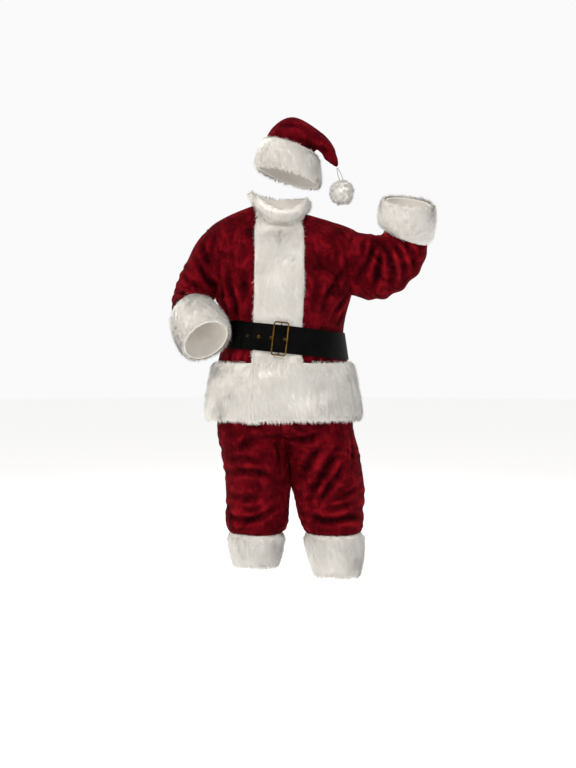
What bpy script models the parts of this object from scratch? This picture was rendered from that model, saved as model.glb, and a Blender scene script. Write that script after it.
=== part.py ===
"""A santa suit held in the shape of someone who wears it: jacket, trousers, hat and belt.

The wearer's left arm is raised in a wave and the right hand is at the belt. All heights in the tables
are above the wearer's heels, in metres. X runs to the wearer's left, Y to the wearer's back, Z up.
The origin of the model is the point between the shoulders that carries the jacket.
"""

import math
from collections import namedtuple

import bmesh
import bpy
from mathutils import Matrix, Vector

# ---------------------------------------------------------------- driving sizes

HELD_HEIGHT = 1.440  # the shoulders' height, which becomes z = 0
PLUSH = 0.0025  # wall of the red plush
FUR_BACK = 0.0020  # the fur's knitted backing
HALF_GAP = 0.0002  # each piece stops this far short of the seam line
GAP = 0.0003  # between hard pieces that touch

FRONT_BAND_WIDTH = 0.166
BAND_PILE = 0.017  # how far the fur stands off its backing
HEM_PILE = 0.021
CUFF_PILE = 0.021
COLLAR_PILE = 0.016
COLLAR_HEIGHT = 0.052

BELT_WIDTH = 0.090
BELT_THICKNESS = 0.0024
BELT_EASE = 0.0052  # between the plush and the belt at the front, where the fur is pressed flat
ROD_RADIUS = 0.0026  # the brass rod of the buckle
BAR_RADIUS = 0.0019
TONGUE_RADIUS = 0.0015
BUCKLE_WIDTH = 0.046
BUCKLE_HEIGHT = 0.107

POMPOM_RADIUS = 0.046
POMPOM_CORE = 0.031
POMPOM_LOCKS_PER_SIDE = 5  # a six-sided core, five by five locks to a side
LOOP_RADIUS = 0.0011
LOOP_BEND = 0.0018         # radius of the thread's turn at the crown's tip
LOOP_BOW = 0.0022          # how far each strand bows out between the tip and the pompom

SLEEVE_COLUMNS = 20  # an even number: half of them follow each side of the armhole

# ---------------------------------------------------------------- tables

TorsoRing = namedtuple(
    "TorsoRing", "side_height front_height back_height centre_x half_width front back tilt turn"
)
# From the jacket's hem (row 0) to the neck (row 12). tilt lifts the wearer's right side and turn is
# where the centre front lies, in degrees to the wearer's left.
TORSO = [
    TorsoRing(0.765, 0.768, 0.762, 0.000, 0.254, 0.214, 0.190, 0.000, -3.5),
    TorsoRing(0.862, 0.865, 0.860, -0.001, 0.243, 0.210, 0.184, 0.000, -3.5),
    TorsoRing(0.962, 0.965, 0.960, -0.002, 0.222, 0.203, 0.170, 0.000, -4.6),
    TorsoRing(1.042, 1.042, 1.042, -0.001, 0.206, 0.195, 0.152, 0.000, -6.1),
    TorsoRing(1.120, 1.120, 1.120, 0.000, 0.213, 0.194, 0.152, 0.000, -5.0),
    TorsoRing(1.190, 1.190, 1.190, 0.001, 0.231, 0.181, 0.156, 0.000, -3.9),
    TorsoRing(1.268, 1.266, 1.268, 0.000, 0.245, 0.163, 0.156, 0.000, -3.2),
    TorsoRing(1.338, 1.332, 1.338, -0.001, 0.256, 0.144, 0.147, 0.001, -2.8),
    TorsoRing(1.388, 1.376, 1.386, -0.002, 0.262, 0.124, 0.130, 0.002, -2.6),
    TorsoRing(1.413, 1.394, 1.410, -0.004, 0.252, 0.109, 0.114, 0.004, -2.5),
    TorsoRing(1.435, 1.406, 1.434, -0.005, 0.212, 0.100, 0.103, 0.010, -2.4),
    TorsoRing(1.459, 1.414, 1.454, -0.009, 0.152, 0.091, 0.090, 0.013, -2.3),
    TorsoRing(1.480, 1.422, 1.472, -0.012, 0.088, 0.082, 0.074, 0.015, -2.2),
]
HEM_TOP = 2.0  # torso rows where one piece ends and the next begins
NECK = 12.0
ARMHOLE_MIDDLE = 6.85
ARMHOLE_REACH = 1.85
ARMHOLE_ANGLE = 33.0  # degrees to the front and to the back of the side line

# Soft gathers that the belt pulls in: degrees from the front, depth and half width.
Gather = namedtuple("Gather", "angle depth width")
GATHERS = [
    Gather(-158, 0.0055, 9), Gather(-131, 0.0040, 8), Gather(-104, 0.0050, 9), Gather(-76, 0.0040, 8),
    Gather(-52, 0.0030, 7), Gather(38, 0.0040, 7), Gather(57, 0.0055, 8), Gather(82, 0.0045, 8),
    Gather(108, 0.0050, 9), Gather(135, 0.0040, 8), Gather(162, 0.0055, 9), Gather(-182, 0.0040, 7),
]
GATHER_LEVEL = 3.0  # the belt's row
GATHER_REACH = 1.5

# A sleeve's ring: its centre, then the way from there to the top line and to the front line.
SleeveRing = namedtuple("SleeveRing", "x y z top_x top_y top_z front_x front_y front_z")


def ring_between(upper, lower, y, half_depth, lean):
    """The ring through two points of the outline, given as (x, z), whose near side leans down."""
    angle = math.radians(lean)
    return SleeveRing(
        (upper[0] + lower[0]) / 2, y, (upper[1] + lower[1]) / 2,
        (upper[0] - lower[0]) / 2, 0.0, (upper[1] - lower[1]) / 2,
        0.0, -half_depth * math.cos(angle), -half_depth * math.sin(angle),
    )


# The raised arm: row 0 stands in for the armhole, row 8 is the seam of the cuff.
RAISED_SLEEVE = [
    ring_between((0.258, 1.408), (0.231, 1.190), 0.002, 0.085, 0),
    ring_between((0.283, 1.402), (0.263, 1.177), 0.004, 0.094, 0),
    ring_between((0.304, 1.398), (0.301, 1.171), 0.004, 0.098, 2),
    ring_between((0.321, 1.394), (0.345, 1.177), 0.001, 0.099, 5),
    ring_between((0.333, 1.395), (0.390, 1.199), -0.004, 0.097, 9),
    ring_between((0.3365, 1.400), (0.432, 1.235), -0.010, 0.093, 11),
    ring_between((0.3385, 1.405), (0.466, 1.277), -0.018, 0.087, 14),
    ring_between((0.3395, 1.410), (0.4835, 1.322), -0.028, 0.081, 16),
    ring_between((0.3410, 1.416), (0.4865, 1.362), -0.038, 0.074, 18),
]
# The lowered arm: down to the elbow and then forward to the belt. Row 10 is the cuff's seam.
LOWERED_SLEEVE = [
    SleeveRing(-0.2465, 0.002, 1.300, -0.0155, 0.000, 0.110, 0.000, -0.085, 0.000),
    SleeveRing(-0.2630, 0.002, 1.283, -0.0285, 0.000, 0.096, 0.000, -0.087, 0.000),
    SleeveRing(-0.2765, 0.002, 1.257, -0.0395, 0.000, 0.075, 0.000, -0.085, 0.000),
    SleeveRing(-0.2895, 0.003, 1.232, -0.0495, 0.000, 0.056, 0.000, -0.082, -0.004),
    SleeveRing(-0.3000, 0.000, 1.211, -0.0565, 0.000, 0.040, 0.000, -0.079, -0.002),
    SleeveRing(-0.3065, -0.006, 1.193, -0.0600, -0.004, 0.026, 0.002, -0.076, 0.012),
    SleeveRing(-0.3120, -0.018, 1.179, -0.0610, -0.009, 0.013, 0.004, -0.070, 0.026),
    SleeveRing(-0.3150, -0.037, 1.167, -0.0600, -0.013, 0.002, 0.004, -0.062, 0.036),
    SleeveRing(-0.3155, -0.059, 1.158, -0.0580, -0.017, -0.008, 0.003, -0.054, 0.041),
    SleeveRing(-0.3150, -0.079, 1.150, -0.0570, -0.0185, -0.015, 0.001, -0.049, 0.043),
    SleeveRing(-0.3135, -0.098, 1.1415, -0.0560, -0.0190, -0.0198, 0.000, -0.0454, 0.0437),
]
# Cuffs: the line that the backing follows, from the sleeve's seam to the open mouth.
RAISED_CUFF = [
    ring_between((0.3410, 1.4165), (0.4865, 1.3625), -0.0385, 0.074, 18),
    ring_between((0.3350, 1.438), (0.4920, 1.396), -0.047, 0.080, 18),
    ring_between((0.3330, 1.464), (0.4960, 1.432), -0.057, 0.083, 18),
    ring_between((0.3370, 1.490), (0.4960, 1.467), -0.067, 0.081, 18),
    ring_between((0.3450, 1.514), (0.4900, 1.498), -0.076, 0.074, 18),
]


def straight_cuff(start, end, radii, outer_line, front_line):
    """Rings from one point to the other, with the given directions of the outer and front lines."""
    rows = []
    for number, radius in enumerate(radii):
        centre = Vector(start).lerp(Vector(end), number / (len(radii) - 1))
        rows.append(SleeveRing(*centre, *(Vector(outer_line) * radius), *(Vector(front_line) * radius)))
    return rows


LOWERED_CUFF = straight_cuff(
    (-0.31325, -0.09845, 1.1411), (-0.2470, -0.2020, 1.0320), (0.0625, 0.073, 0.082, 0.085, 0.080),
    (-0.846, -0.285, -0.296), (0.000, -0.720, 0.694),
)

LegRing = namedtuple("LegRing", "height centre_x half_width front back centre_line crotch")
# From the fur cuff's seam (row 0) to the waistband (row 14). centre_line is where the legs part and
# crotch runs from 0, two separate legs, to 1, one pair of hips, whose half width is then read.
RIGHT_LEG = [
    LegRing(0.384, -0.0925, 0.088, 0.092, 0.094, 0.030, 0.0),
    LegRing(0.397, -0.0905, 0.103, 0.106, 0.108, 0.030, 0.0),
    LegRing(0.430, -0.0890, 0.109, 0.110, 0.113, 0.029, 0.0),
    LegRing(0.470, -0.0880, 0.109, 0.113, 0.116, 0.028, 0.0),
    LegRing(0.512, -0.0870, 0.110, 0.118, 0.120, 0.027, 0.0),
    LegRing(0.556, -0.0875, 0.112, 0.123, 0.124, 0.0258, 0.0),
    LegRing(0.606, -0.0915, 0.1135, 0.129, 0.130, 0.0235, 0.0),
    LegRing(0.648, -0.0985, 0.1135, 0.136, 0.138, 0.0165, 0.0),
    LegRing(0.672, -0.1025, 0.1130, 0.142, 0.144, 0.0120, 0.0),
    LegRing(0.696, -0.1090, 0.1130, 0.149, 0.150, 0.0055, 0.30),
    LegRing(0.720, -0.1140, 0.1110, 0.156, 0.157, -0.0035, 0.68),
    LegRing(0.752, -0.1190, 0.1080, 0.166, 0.164, -0.0115, 1.0),
    LegRing(0.850, -0.1140, 0.1040, 0.188, 0.166, -0.0120, 1.0),
    LegRing(0.950, -0.1040, 0.0980, 0.182, 0.150, -0.0070, 1.0),
    LegRing(1.030, -0.0930, 0.0920, 0.168, 0.130, -0.0020, 1.0),
]
LEFT_LEG = [
    LegRing(0.384, 0.1695, 0.092, 0.094, 0.096, 0.030, 0.0),
    LegRing(0.397, 0.1685, 0.104, 0.108, 0.110, 0.030, 0.0),
    LegRing(0.430, 0.1635, 0.112, 0.112, 0.115, 0.029, 0.0),
    LegRing(0.470, 0.1580, 0.116, 0.116, 0.119, 0.028, 0.0),
    LegRing(0.512, 0.1565, 0.1225, 0.121, 0.123, 0.027, 0.0),
    LegRing(0.556, 0.1498, 0.1240, 0.126, 0.127, 0.0258, 0.0),
    LegRing(0.606, 0.1450, 0.1220, 0.132, 0.133, 0.0235, 0.0),
    LegRing(0.648, 0.1382, 0.1222, 0.138, 0.140, 0.0165, 0.0),
    LegRing(0.672, 0.1334, 0.1216, 0.143, 0.145, 0.0120, 0.0),
    LegRing(0.696, 0.1270, 0.1200, 0.150, 0.151, 0.0055, 0.30),
    LegRing(0.720, 0.1190, 0.1210, 0.157, 0.158, -0.0035, 0.68),
    LegRing(0.752, 0.1130, 0.1235, 0.166, 0.164, -0.0115, 1.0),
    LegRing(0.850, 0.1060, 0.1180, 0.188, 0.166, -0.0120, 1.0),
    LegRing(0.950, 0.0980, 0.1040, 0.182, 0.150, -0.0070, 1.0),
    LegRing(1.030, 0.0900, 0.0950, 0.168, 0.130, -0.0020, 1.0),
]
LEG_TOP = 14.0
WAISTBAND_HEIGHT = 0.034

LegCuffRing = namedtuple("LegCuffRing", "height centre_x centre_y half_width half_depth")
RIGHT_LEG_CUFF = [
    LegCuffRing(0.3835, -0.0925, 0.000, 0.088, 0.093),
    LegCuffRing(0.3500, -0.0925, 0.000, 0.084, 0.088),
    LegCuffRing(0.3100, -0.0930, 0.000, 0.077, 0.081),
    LegCuffRing(0.2660, -0.0930, 0.000, 0.063, 0.070),
]
LEFT_LEG_CUFF = [
    LegCuffRing(0.3835, 0.1695, 0.000, 0.092, 0.095),
    LegCuffRing(0.3400, 0.1740, -0.004, 0.090, 0.092),
    LegCuffRing(0.2900, 0.1790, -0.008, 0.080, 0.085),
    LegCuffRing(0.2350, 0.1815, -0.012, 0.068, 0.074),
]

# The hat's band of fur and its crown, from the band's seam to the tip that hangs at the wearer's left.
HAT_BAND = [
    ring_between((-0.0880, 1.614), (0.1150, 1.549), 0.002, 0.112, -6),
    ring_between((-0.0820, 1.648), (0.1140, 1.586), 0.002, 0.110, -5),
    ring_between((-0.0700, 1.688), (0.1090, 1.628), 0.002, 0.105, -4),
    ring_between((-0.0600, 1.722), (0.1020, 1.668), 0.002, 0.098, -3),
]
HAT_CROWN = [
    ring_between((-0.05985, 1.72255), (0.10215, 1.66855), 0.002, 0.098, -3),
    ring_between((-0.0520, 1.742), (0.1070, 1.677), 0.002, 0.096, -3),
    ring_between((-0.0320, 1.768), (0.1120, 1.682), 0.003, 0.090, 0),
    ring_between((0.0000, 1.791), (0.1170, 1.6835), 0.004, 0.083, 0),
    ring_between((0.0330, 1.798), (0.1220, 1.682), 0.005, 0.073, 0),
    ring_between((0.0700, 1.784), (0.1265, 1.677), 0.005, 0.062, 0),
    ring_between((0.1080, 1.759), (0.1310, 1.670), 0.004, 0.052, 0),
    ring_between((0.1430, 1.732), (0.1370, 1.660), 0.003, 0.041, 0),
    ring_between((0.1670, 1.704), (0.1450, 1.648), 0.002, 0.031, 0),
    ring_between((0.1800, 1.671), (0.1560, 1.637), 0.001, 0.021, 0),
    ring_between((0.1865, 1.641), (0.1690, 1.629), 0.000, 0.011, 0),
]
CROWN_TIP = Vector((0.1835, 0.0, 1.6235))
POMPOM_CENTRE = Vector((0.1990, -0.004, 1.5385))

# ---------------------------------------------------------------- materials


def material(name, colour, roughness, metallic=0.0):
    made = bpy.data.materials.new(name)
    made.use_nodes = True
    shader = made.node_tree.nodes["Principled BSDF"]
    shader.inputs["Base Color"].default_value = (*colour, 1.0)
    shader.inputs["Roughness"].default_value = roughness
    shader.inputs["Metallic"].default_value = metallic
    return made


# ---------------------------------------------------------------- surfaces


def smooth_row(rows, level):
    """The table's columns at a level between two rows, on a smooth curve through the rows."""
    last = len(rows) - 1
    low = min(max(int(level), 0), last - 1)
    t = level - low
    before, start, end, after = (rows[max(0, min(last, low + k))] for k in (-1, 0, 1, 2))
    values = [
        b + 0.5 * t * (c - a + t * (2 * a - 5 * b + 4 * c - d + t * (3 * (b - c) + d - a)))
        for a, b, c, d in zip(before, start, end, after)
    ]
    return type(rows[0])(*values)


def angle_between(a, b):
    """How far apart two directions are, in degrees, the short way round."""
    return abs((a - b + 180.0) % 360.0 - 180.0)


def gathered(angle, level):
    """How far the belt's gathers push the plush in at this place."""
    fade = max(0.0, 1.0 - abs(level - GATHER_LEVEL) / GATHER_REACH)
    pull = sum(g.depth * math.exp(-((angle_between(angle, g.angle) / g.width) ** 2)) for g in GATHERS)
    return pull * math.sin(fade * math.pi / 2)


def torso(angle, level):
    """The jacket's outer face. The angle is in degrees: 0 at the front, 90 at the wearer's left."""
    ring = smooth_row(TORSO, level)
    side, front = math.sin(math.radians(angle)), math.cos(math.radians(angle))
    depth, end_height = (ring.front, ring.front_height) if front > 0 else (ring.back, ring.back_height)
    inward = gathered(angle, level)
    return Vector((
        ring.centre_x + (ring.half_width - inward) * side,
        -(depth - inward) * front,
        ring.side_height + (end_height - ring.side_height) * front**2 - ring.tilt * side,
    ))


def sleeve(rows, angle, level):
    """A point of a sleeve, cuff or hat: 0 degrees on its top line, 90 on its front line."""
    ring = smooth_row(rows, level)
    top, front = math.cos(math.radians(angle)), math.sin(math.radians(angle))
    return Vector((
        ring.x + ring.top_x * top + ring.front_x * front,
        ring.y + ring.top_y * top + ring.front_y * front,
        ring.z + ring.top_z * top + ring.front_z * front,
    ))


def armhole(side, angle):
    """The seam line of an armhole. side is 1 for the wearer's left and -1 for the right."""
    reach = math.radians(angle)
    return torso(
        side * (90.0 - ARMHOLE_ANGLE * math.sin(reach)),
        ARMHOLE_MIDDLE + ARMHOLE_REACH * math.cos(reach),
    )


def sleeve_from_armhole(rows, side, angle, level, fold):
    """A sleeve that starts on the armhole's own line and takes its round shape over two rows."""
    share = min(1.0, level / 2.0)
    share = share * share * (3 - 2 * share)
    centre = sleeve(rows, angle, level)
    outward = (centre - Vector(smooth_row(rows, level)[:3])).normalized()
    shaped = centre + outward * fold(angle, level)
    start = sleeve(rows, angle, 0.0)
    return shaped + (armhole(side, angle) - start) * (1.0 - share)


def raised_fold(angle, level):
    """Drapes that hang round the raised sleeve, six from the shoulder to the elbow."""
    along = math.sin(math.pi * min(1.0, max(0.0, (level - 0.4) / 7.1)))
    round_it = 0.62 - 0.38 * math.cos(math.radians(angle))
    sway = 0.6 * math.sin(math.radians(angle))
    return 0.0085 * along * round_it * math.sin(2 * math.pi * level * 0.75 + sway)


def lowered_fold(angle, level):
    """Folds that wind from the shoulder to the bent elbow, deepest at the front."""
    along = math.sin(math.pi * min(1.0, max(0.0, (level - 0.6) / 8.6)))
    round_it = 0.65 + 0.35 * math.sin(math.radians(angle))
    wind = 0.9 * math.cos(math.radians(angle)) - 1.0
    return 0.0070 * along * round_it * math.cos(2 * math.pi * level * 0.6 + wind)


# Creases of the trousers. The angle is round the leg: 0 on its outer side and 90 at the front. The slope
# is how far a crease rises for each degree.
Crease = namedtuple("Crease", "height angle depth half_height half_angle slope")
RIGHT_CREASES = [
    Crease(0.575, 60, 0.0105, 0.018, 52, 0.00020), Crease(0.492, 65, 0.0080, 0.017, 50, -0.00030),
    Crease(0.430, 110, 0.0100, 0.017, 55, 0.00045), Crease(0.660, 95, 0.0060, 0.020, 40, 0.00030),
    Crease(0.590, 265, 0.0095, 0.018, 55, 0.00010), Crease(0.492, 275, 0.0085, 0.018, 50, -0.00020),
    Crease(0.430, 250, 0.0080, 0.016, 50, 0.00020),
]
LEFT_CREASES = [
    Crease(0.418, 85, 0.0100, 0.016, 60, 0.00010), Crease(0.470, 50, 0.0095, 0.018, 45, 0.00050),
    Crease(0.535, 65, 0.0070, 0.020, 42, 0.00070), Crease(0.630, 80, 0.0070, 0.022, 40, 0.00080),
    Crease(0.585, 270, 0.0095, 0.018, 55, -0.00010), Crease(0.500, 262, 0.0080, 0.018, 50, 0.00020),
    Crease(0.425, 285, 0.0085, 0.016, 50, -0.00020),
]


def creased(creases, angle, height):
    """How far the creases push the leg's cloth in at this place."""
    total = 0.0
    for crease in creases:
        across = angle_between(angle, crease.angle)
        middle = crease.height + crease.slope * ((angle - crease.angle + 180.0) % 360.0 - 180.0)
        off = (height - middle) / crease.half_height
        total += crease.depth * math.exp(-off * off - (across / crease.half_angle) ** 2)
    return total


def leg(rows, creases, side, half, angle, level):
    """A leg's outer face. half is 1 on the front panel and -1 on the back panel."""
    ring = smooth_row(rows, level)
    crotch = min(1.0, max(0.0, ring.crotch))
    turn = math.radians(angle)
    inward = creased(creases, angle, ring.height) * (1.0 - crotch)
    depth = (ring.front if half > 0 else ring.back) - inward
    half_width = ring.half_width - inward
    out = ring.centre_x + side * half_width * math.cos(turn)
    round_leg = Vector((out, -depth * math.sin(turn), 0.0))
    quarter = turn / 2 if half > 0 else math.pi - turn / 2
    hip_width = abs(ring.centre_x + side * ring.half_width - ring.centre_line)
    hips = Vector((
        ring.centre_line + side * (hip_width * math.cos(quarter) + 2 * HALF_GAP),
        -half * depth * math.sin(quarter),
        0.0,
    ))
    point = round_leg.lerp(hips, crotch)
    inner_limit = ring.centre_line + side * 2 * HALF_GAP
    point.x = max(point.x, inner_limit) if side > 0 else min(point.x, inner_limit)
    point.z = ring.height
    return point


# ---------------------------------------------------------------- making the pieces


def surface_normal(surface, across, up, facing):
    """The outward direction of a surface, from its own points a small step away."""
    step_across, step_up = 0.4, 0.02
    along = surface(across + step_across, up) - surface(across - step_across, up)
    rise = surface(across, up + step_up) - surface(across, up - step_up)
    return along.cross(rise).normalized() * facing


def cloth(name, across, up, surface, finish, outer=0.0, inner=-PLUSH, facing=1, seams=None):
    """One cut piece: a grid laid on a surface, doubled into an outer and an inner face.

    outer and inner are how far each face stands off the surface, as a size or as a function of the
    place. seams gives the direction of the wall's edge where two pieces meet, or None elsewhere.
    """
    bm = bmesh.new()
    columns, rows = len(across) - 1, len(up) - 1
    bmesh.ops.create_grid(bm, x_segments=columns, y_segments=rows, size=1.0)
    place = bm.verts.layers.int.new("place")
    points, faces_of = [], []
    for vert in bm.verts:
        column = round((vert.co.x + 1) / 2 * columns)
        row = round((vert.co.y + 1) / 2 * rows)
        a, u = across[column], up[row]
        direction = (seams(a, u) if seams else None) or surface_normal(surface, a, u, facing)
        vert[place] = len(points)
        points.append(surface(a, u))
        faces_of.append([
            direction * (offset(a, u) if callable(offset) else offset) for offset in (outer, inner)
        ])
        vert.co = points[-1]
    bmesh.ops.remove_doubles(bm, verts=bm.verts, dist=2e-5)
    first = set(bm.verts)
    bmesh.ops.extrude_face_region(bm, geom=list(bm.faces), use_keep_orig=True)
    for vert in bm.verts:
        vert.co = points[vert[place]] + faces_of[vert[place]][0 if vert in first else 1]
    bm.verts.layers.int.remove(place)
    return finished(bm, name, finish)


def finished(bm, name, finish, sharp=40.0):
    """Turns a bmesh into a named object, facing out and smooth between its sharp edges."""
    bmesh.ops.recalc_face_normals(bm, faces=bm.faces)
    mesh = bpy.data.meshes.new(name)
    bm.to_mesh(mesh)
    bm.free()
    mesh.shade_smooth()
    mesh.set_sharp_from_angle(angle=math.radians(sharp))
    mesh.materials.append(finish)
    made = bpy.data.objects.new(name, mesh)
    bpy.context.scene.collection.objects.link(made)
    made.parent = wearer
    return made


def spread(first, last, count):
    """count + 1 evenly spaced values from first to last."""
    return [first + (last - first) * k / count for k in range(count + 1)]


def rounded_pile(pile, low, high, edge, ends=0.30):
    """A function for a fur strip's outer face: thin at its two edges, full between them."""
    def height(across, up):
        share = (up - low) / (high - low)
        swell = math.sin(math.pi * min(1.0, max(0.0, share))) ** ends if 0 < share < 1 else 0.0
        tuft = 0.0012 * math.sin(across * 0.37 + up * 2.1) * math.sin(across * 0.11 - up * 3.3)
        return edge + (pile - edge) * swell + tuft * swell
    return height


# ---------------------------------------------------------------- the jacket


def armhole_edge(side, half, level):
    """The angle where a front (half 1) or the back (half -1) ends: side seam, armhole or shoulder."""
    share = (level - ARMHOLE_MIDDLE) / ARMHOLE_REACH
    cut = ARMHOLE_ANGLE * math.sqrt(max(0.0, 1.0 - share * share))
    seam = 0.11 if cut < 0.5 else 0.0  # degrees that leave the gap of a side or shoulder seam
    return side * (90.0 - half * (cut + seam))


def torso_levels():
    """Rows of the jacket's panels, with the same steps round the armhole as the sleeve has."""
    half_turn = SLEEVE_COLUMNS // 2
    turns = spread(0.0, math.pi, half_turn)
    hole = [ARMHOLE_MIDDLE - ARMHOLE_REACH * math.cos(turn) for turn in turns]
    return spread(HEM_TOP, hole[0], 7)[:-1] + hole + spread(hole[-1], NECK, 4)[1:]


def sleeve_surface(side):
    """The sleeve's outer face as a function of angle and row, and the row of its cuff seam."""
    rows, fold = (RAISED_SLEEVE, raised_fold) if side > 0 else (LOWERED_SLEEVE, lowered_fold)
    return (lambda angle, level: sleeve_from_armhole(rows, side, angle, level, fold)), len(rows) - 1.0


def armhole_mitre(side, angle):
    """The direction halfway between the jacket's face and the sleeve's, which both edges share."""
    reach = math.radians(angle)
    level = ARMHOLE_MIDDLE + ARMHOLE_REACH * math.cos(reach)
    body = surface_normal(torso, side * (90.0 - ARMHOLE_ANGLE * math.sin(reach)), level, 1)
    surface, _ = sleeve_surface(side)
    along = surface(angle + 0.5, 0.0) - surface(angle - 0.5, 0.0)
    out = surface(angle, 0.25) - surface(angle, 0.0)
    return (body + along.cross(out).normalized() * side).normalized()


def panel_surface(first_edge, last_edge):
    """A panel's outer face: across runs from 0 to 100 between its two edges at every level."""
    def surface(across, level):
        start, end = first_edge(level), last_edge(level)
        return torso(start + (end - start) * across / 100.0, level)
    return surface


def panel_seams(side, edge_across, half):
    """Makes the armhole edge of a panel point the way that the sleeve's own edge does."""
    def direction(across, level):
        share = (level - ARMHOLE_MIDDLE) / ARMHOLE_REACH
        if abs(across - edge_across) > 0.01 or abs(share) > 0.9999:
            return None
        turn = math.degrees(math.acos(share))
        return armhole_mitre(side, turn if half > 0 else 360.0 - turn)
    return direction


def band_angle(level, offset):
    """The angle that lies offset metres to the wearer's left of the centre front."""
    ring = smooth_row(TORSO, level)
    return ring.turn + math.degrees(offset / ring.half_width)


def make_fronts_and_back(plush):
    levels = torso_levels()
    edge = FRONT_BAND_WIDTH / 2 + HALF_GAP
    for name, side in (("front_left", 1), ("front_right", -1)):
        inner_edge = lambda level, s=side: band_angle(level, s * edge)
        outer_edge = lambda level, s=side: armhole_edge(s, 1, level)
        order = (inner_edge, outer_edge) if side > 0 else (outer_edge, inner_edge)
        cloth(
            name, spread(0.0, 100.0, 9), levels, panel_surface(*order), plush,
            seams=panel_seams(side, 100.0 if side > 0 else 0.0, 1),
        )
    from_left = lambda level: armhole_edge(1, -1, level)
    to_right = lambda level: 360.0 + armhole_edge(-1, -1, level)
    left_seam, right_seam = panel_seams(1, 0.0, -1), panel_seams(-1, 100.0, -1)
    cloth(
        "back", spread(0.0, 100.0, 18), levels, panel_surface(from_left, to_right), plush,
        seams=lambda across, level: left_seam(across, level) or right_seam(across, level),
    )


def square_edge(rows, *levels):
    """Makes the wall's edge stand square to the tube's axis at these rows, to meet its neighbour flat."""
    def direction(angle, level):
        if level not in levels:
            return None
        return (sleeve(rows, angle, level) - Vector(smooth_row(rows, level)[:3])).normalized()
    return direction


def make_sleeve(name, side, rings, plush):
    surface, last = sleeve_surface(side)

    def parted(angle, level):
        """The sleeve, lifted off the armhole's line by the gap of the seam."""
        step = surface(angle, max(level, 0.0) + 0.2) - surface(angle, max(level, 0.0))
        return surface(angle, max(level, 0.0)) + step.normalized() * 2 * HALF_GAP * max(0.0, 1.0 - level)

    square = square_edge(RAISED_SLEEVE if side > 0 else LOWERED_SLEEVE, last)

    def edges(angle, level):
        return armhole_mitre(side, angle) if level == 0 else square(angle, level)

    cloth(
        name, spread(0.0, 360.0, SLEEVE_COLUMNS), spread(0.0, last, rings), parted, plush,
        facing=side, seams=edges,
    )


def fur_rows(last):
    """Rows of a fur strip: close together where its pile rounds over at either edge."""
    return [last * share for share in (0.0, 0.08, 0.3, 0.7, 0.92, 1.0)]


def make_cuff(name, rows, facing, fur):
    last = len(rows) - 1.0
    cloth(
        name, spread(0.0, 360.0, SLEEVE_COLUMNS), fur_rows(last),
        lambda angle, level: sleeve(rows, angle, level), fur,
        outer=rounded_pile(CUFF_PILE, 0.0, last, 0.004), inner=-FUR_BACK, facing=facing,
        seams=square_edge(rows, 0.0),
    )


def make_front_band(fur):
    """The strip of fur down the front, pressed flat where the belt crosses it."""
    half = FRONT_BAND_WIDTH / 2 - HALF_GAP

    def surface(offset, level):
        return torso(band_angle(level, offset), level)

    def pile(offset, level):
        share = min(1.0, (1.0 - abs(offset) / half) / 0.18)
        angle = band_angle(level, offset)
        off_belt = (abs(torso(angle, level).z - belt_middle(angle)) - BELT_WIDTH / 2 - 0.008) / 0.018
        pressed = min(1.0, max(0.0, off_belt))
        neck = min(1.0, (NECK - level) / 4.0) ** 0.8
        full = 0.0035 + (BAND_PILE - 0.0035) * math.sin(share * math.pi / 2)
        return 0.0003 + (0.0030 + (full - 0.0033) * pressed) * neck

    def direction(offset, level):
        return surface_normal(torso, band_angle(level, offset), level, 1)

    cloth(
        "front_band", [share * half for share in (-1.0, -0.86, -0.5, 0.0, 0.5, 0.86, 1.0)],
        sorted([*torso_levels(), 2.14, 2.27, 3.56, 3.86, 4.0]), surface, fur,
        outer=pile, inner=-FUR_BACK, seams=direction,
    )


def make_hem(fur):
    """The wide fur of the hem, one piece for each front and one for the back."""
    opening = band_angle(1.0, -FRONT_BAND_WIDTH / 2)
    seam = 0.09  # degrees
    parts = (
        ("hem_right", -90.0 + seam, opening - 2 * seam, 7),
        ("hem_left", opening + 2 * seam, 90.0 - seam, 12),
        ("hem_back", 90.0 + seam, 270.0 - seam, 18),
    )
    for name, start, end, columns in parts:
        cloth(
            name, spread(start, end, columns), [0.0, 0.15, 0.6, 1.4, 1.85, 1.993],
            torso, fur, outer=rounded_pile(HEM_PILE, 0.0, HEM_TOP, 0.005), inner=-FUR_BACK,
        )


def make_collar(fur):
    """A plain low collar of the same fur that stands on the neck's edge and opens at the front."""
    def surface(angle, level):
        base = torso(angle, NECK)
        middle = Vector((smooth_row(TORSO, NECK).centre_x, 0.0, base.z))
        out = (base - middle).normalized()
        rise = COLLAR_HEIGHT * level
        return base + out * (0.004 * math.sin(level * math.pi) + 0.006 * level) + Vector((0, 0, 0.0026 + rise))

    start = band_angle(NECK, -FRONT_BAND_WIDTH / 2) + 1.0
    cloth(
        "collar", spread(start, start + 358.0, 24), [0.0, 0.25, 0.6, 0.88, 1.0], surface, fur,
        outer=rounded_pile(COLLAR_PILE, 0.0, 1.0, 0.003, ends=0.8), inner=-FUR_BACK,
    )


# ---------------------------------------------------------------- the belt

BUCKLE_ANGLE = -2.4  # degrees from the front: the buckle's middle
TIP_ANGLE = -70.5  # the free end's tip, past the wearer's right front
EYELET_ANGLES = (-32.2, -21.0, -9.8, 1.4)
MIDDLE_RING = 3.0  # the torso's row that the belt crosses


def belt_middle(angle):
    """The height of the belt's centre line: it hangs lower at the wearer's left."""
    x = 0.206 * math.sin(math.radians(angle))
    back = max(0.0, -math.cos(math.radians(angle)))
    return 1.043 - 0.115 * x - 0.12 * x * x + 0.012 * back


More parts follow.
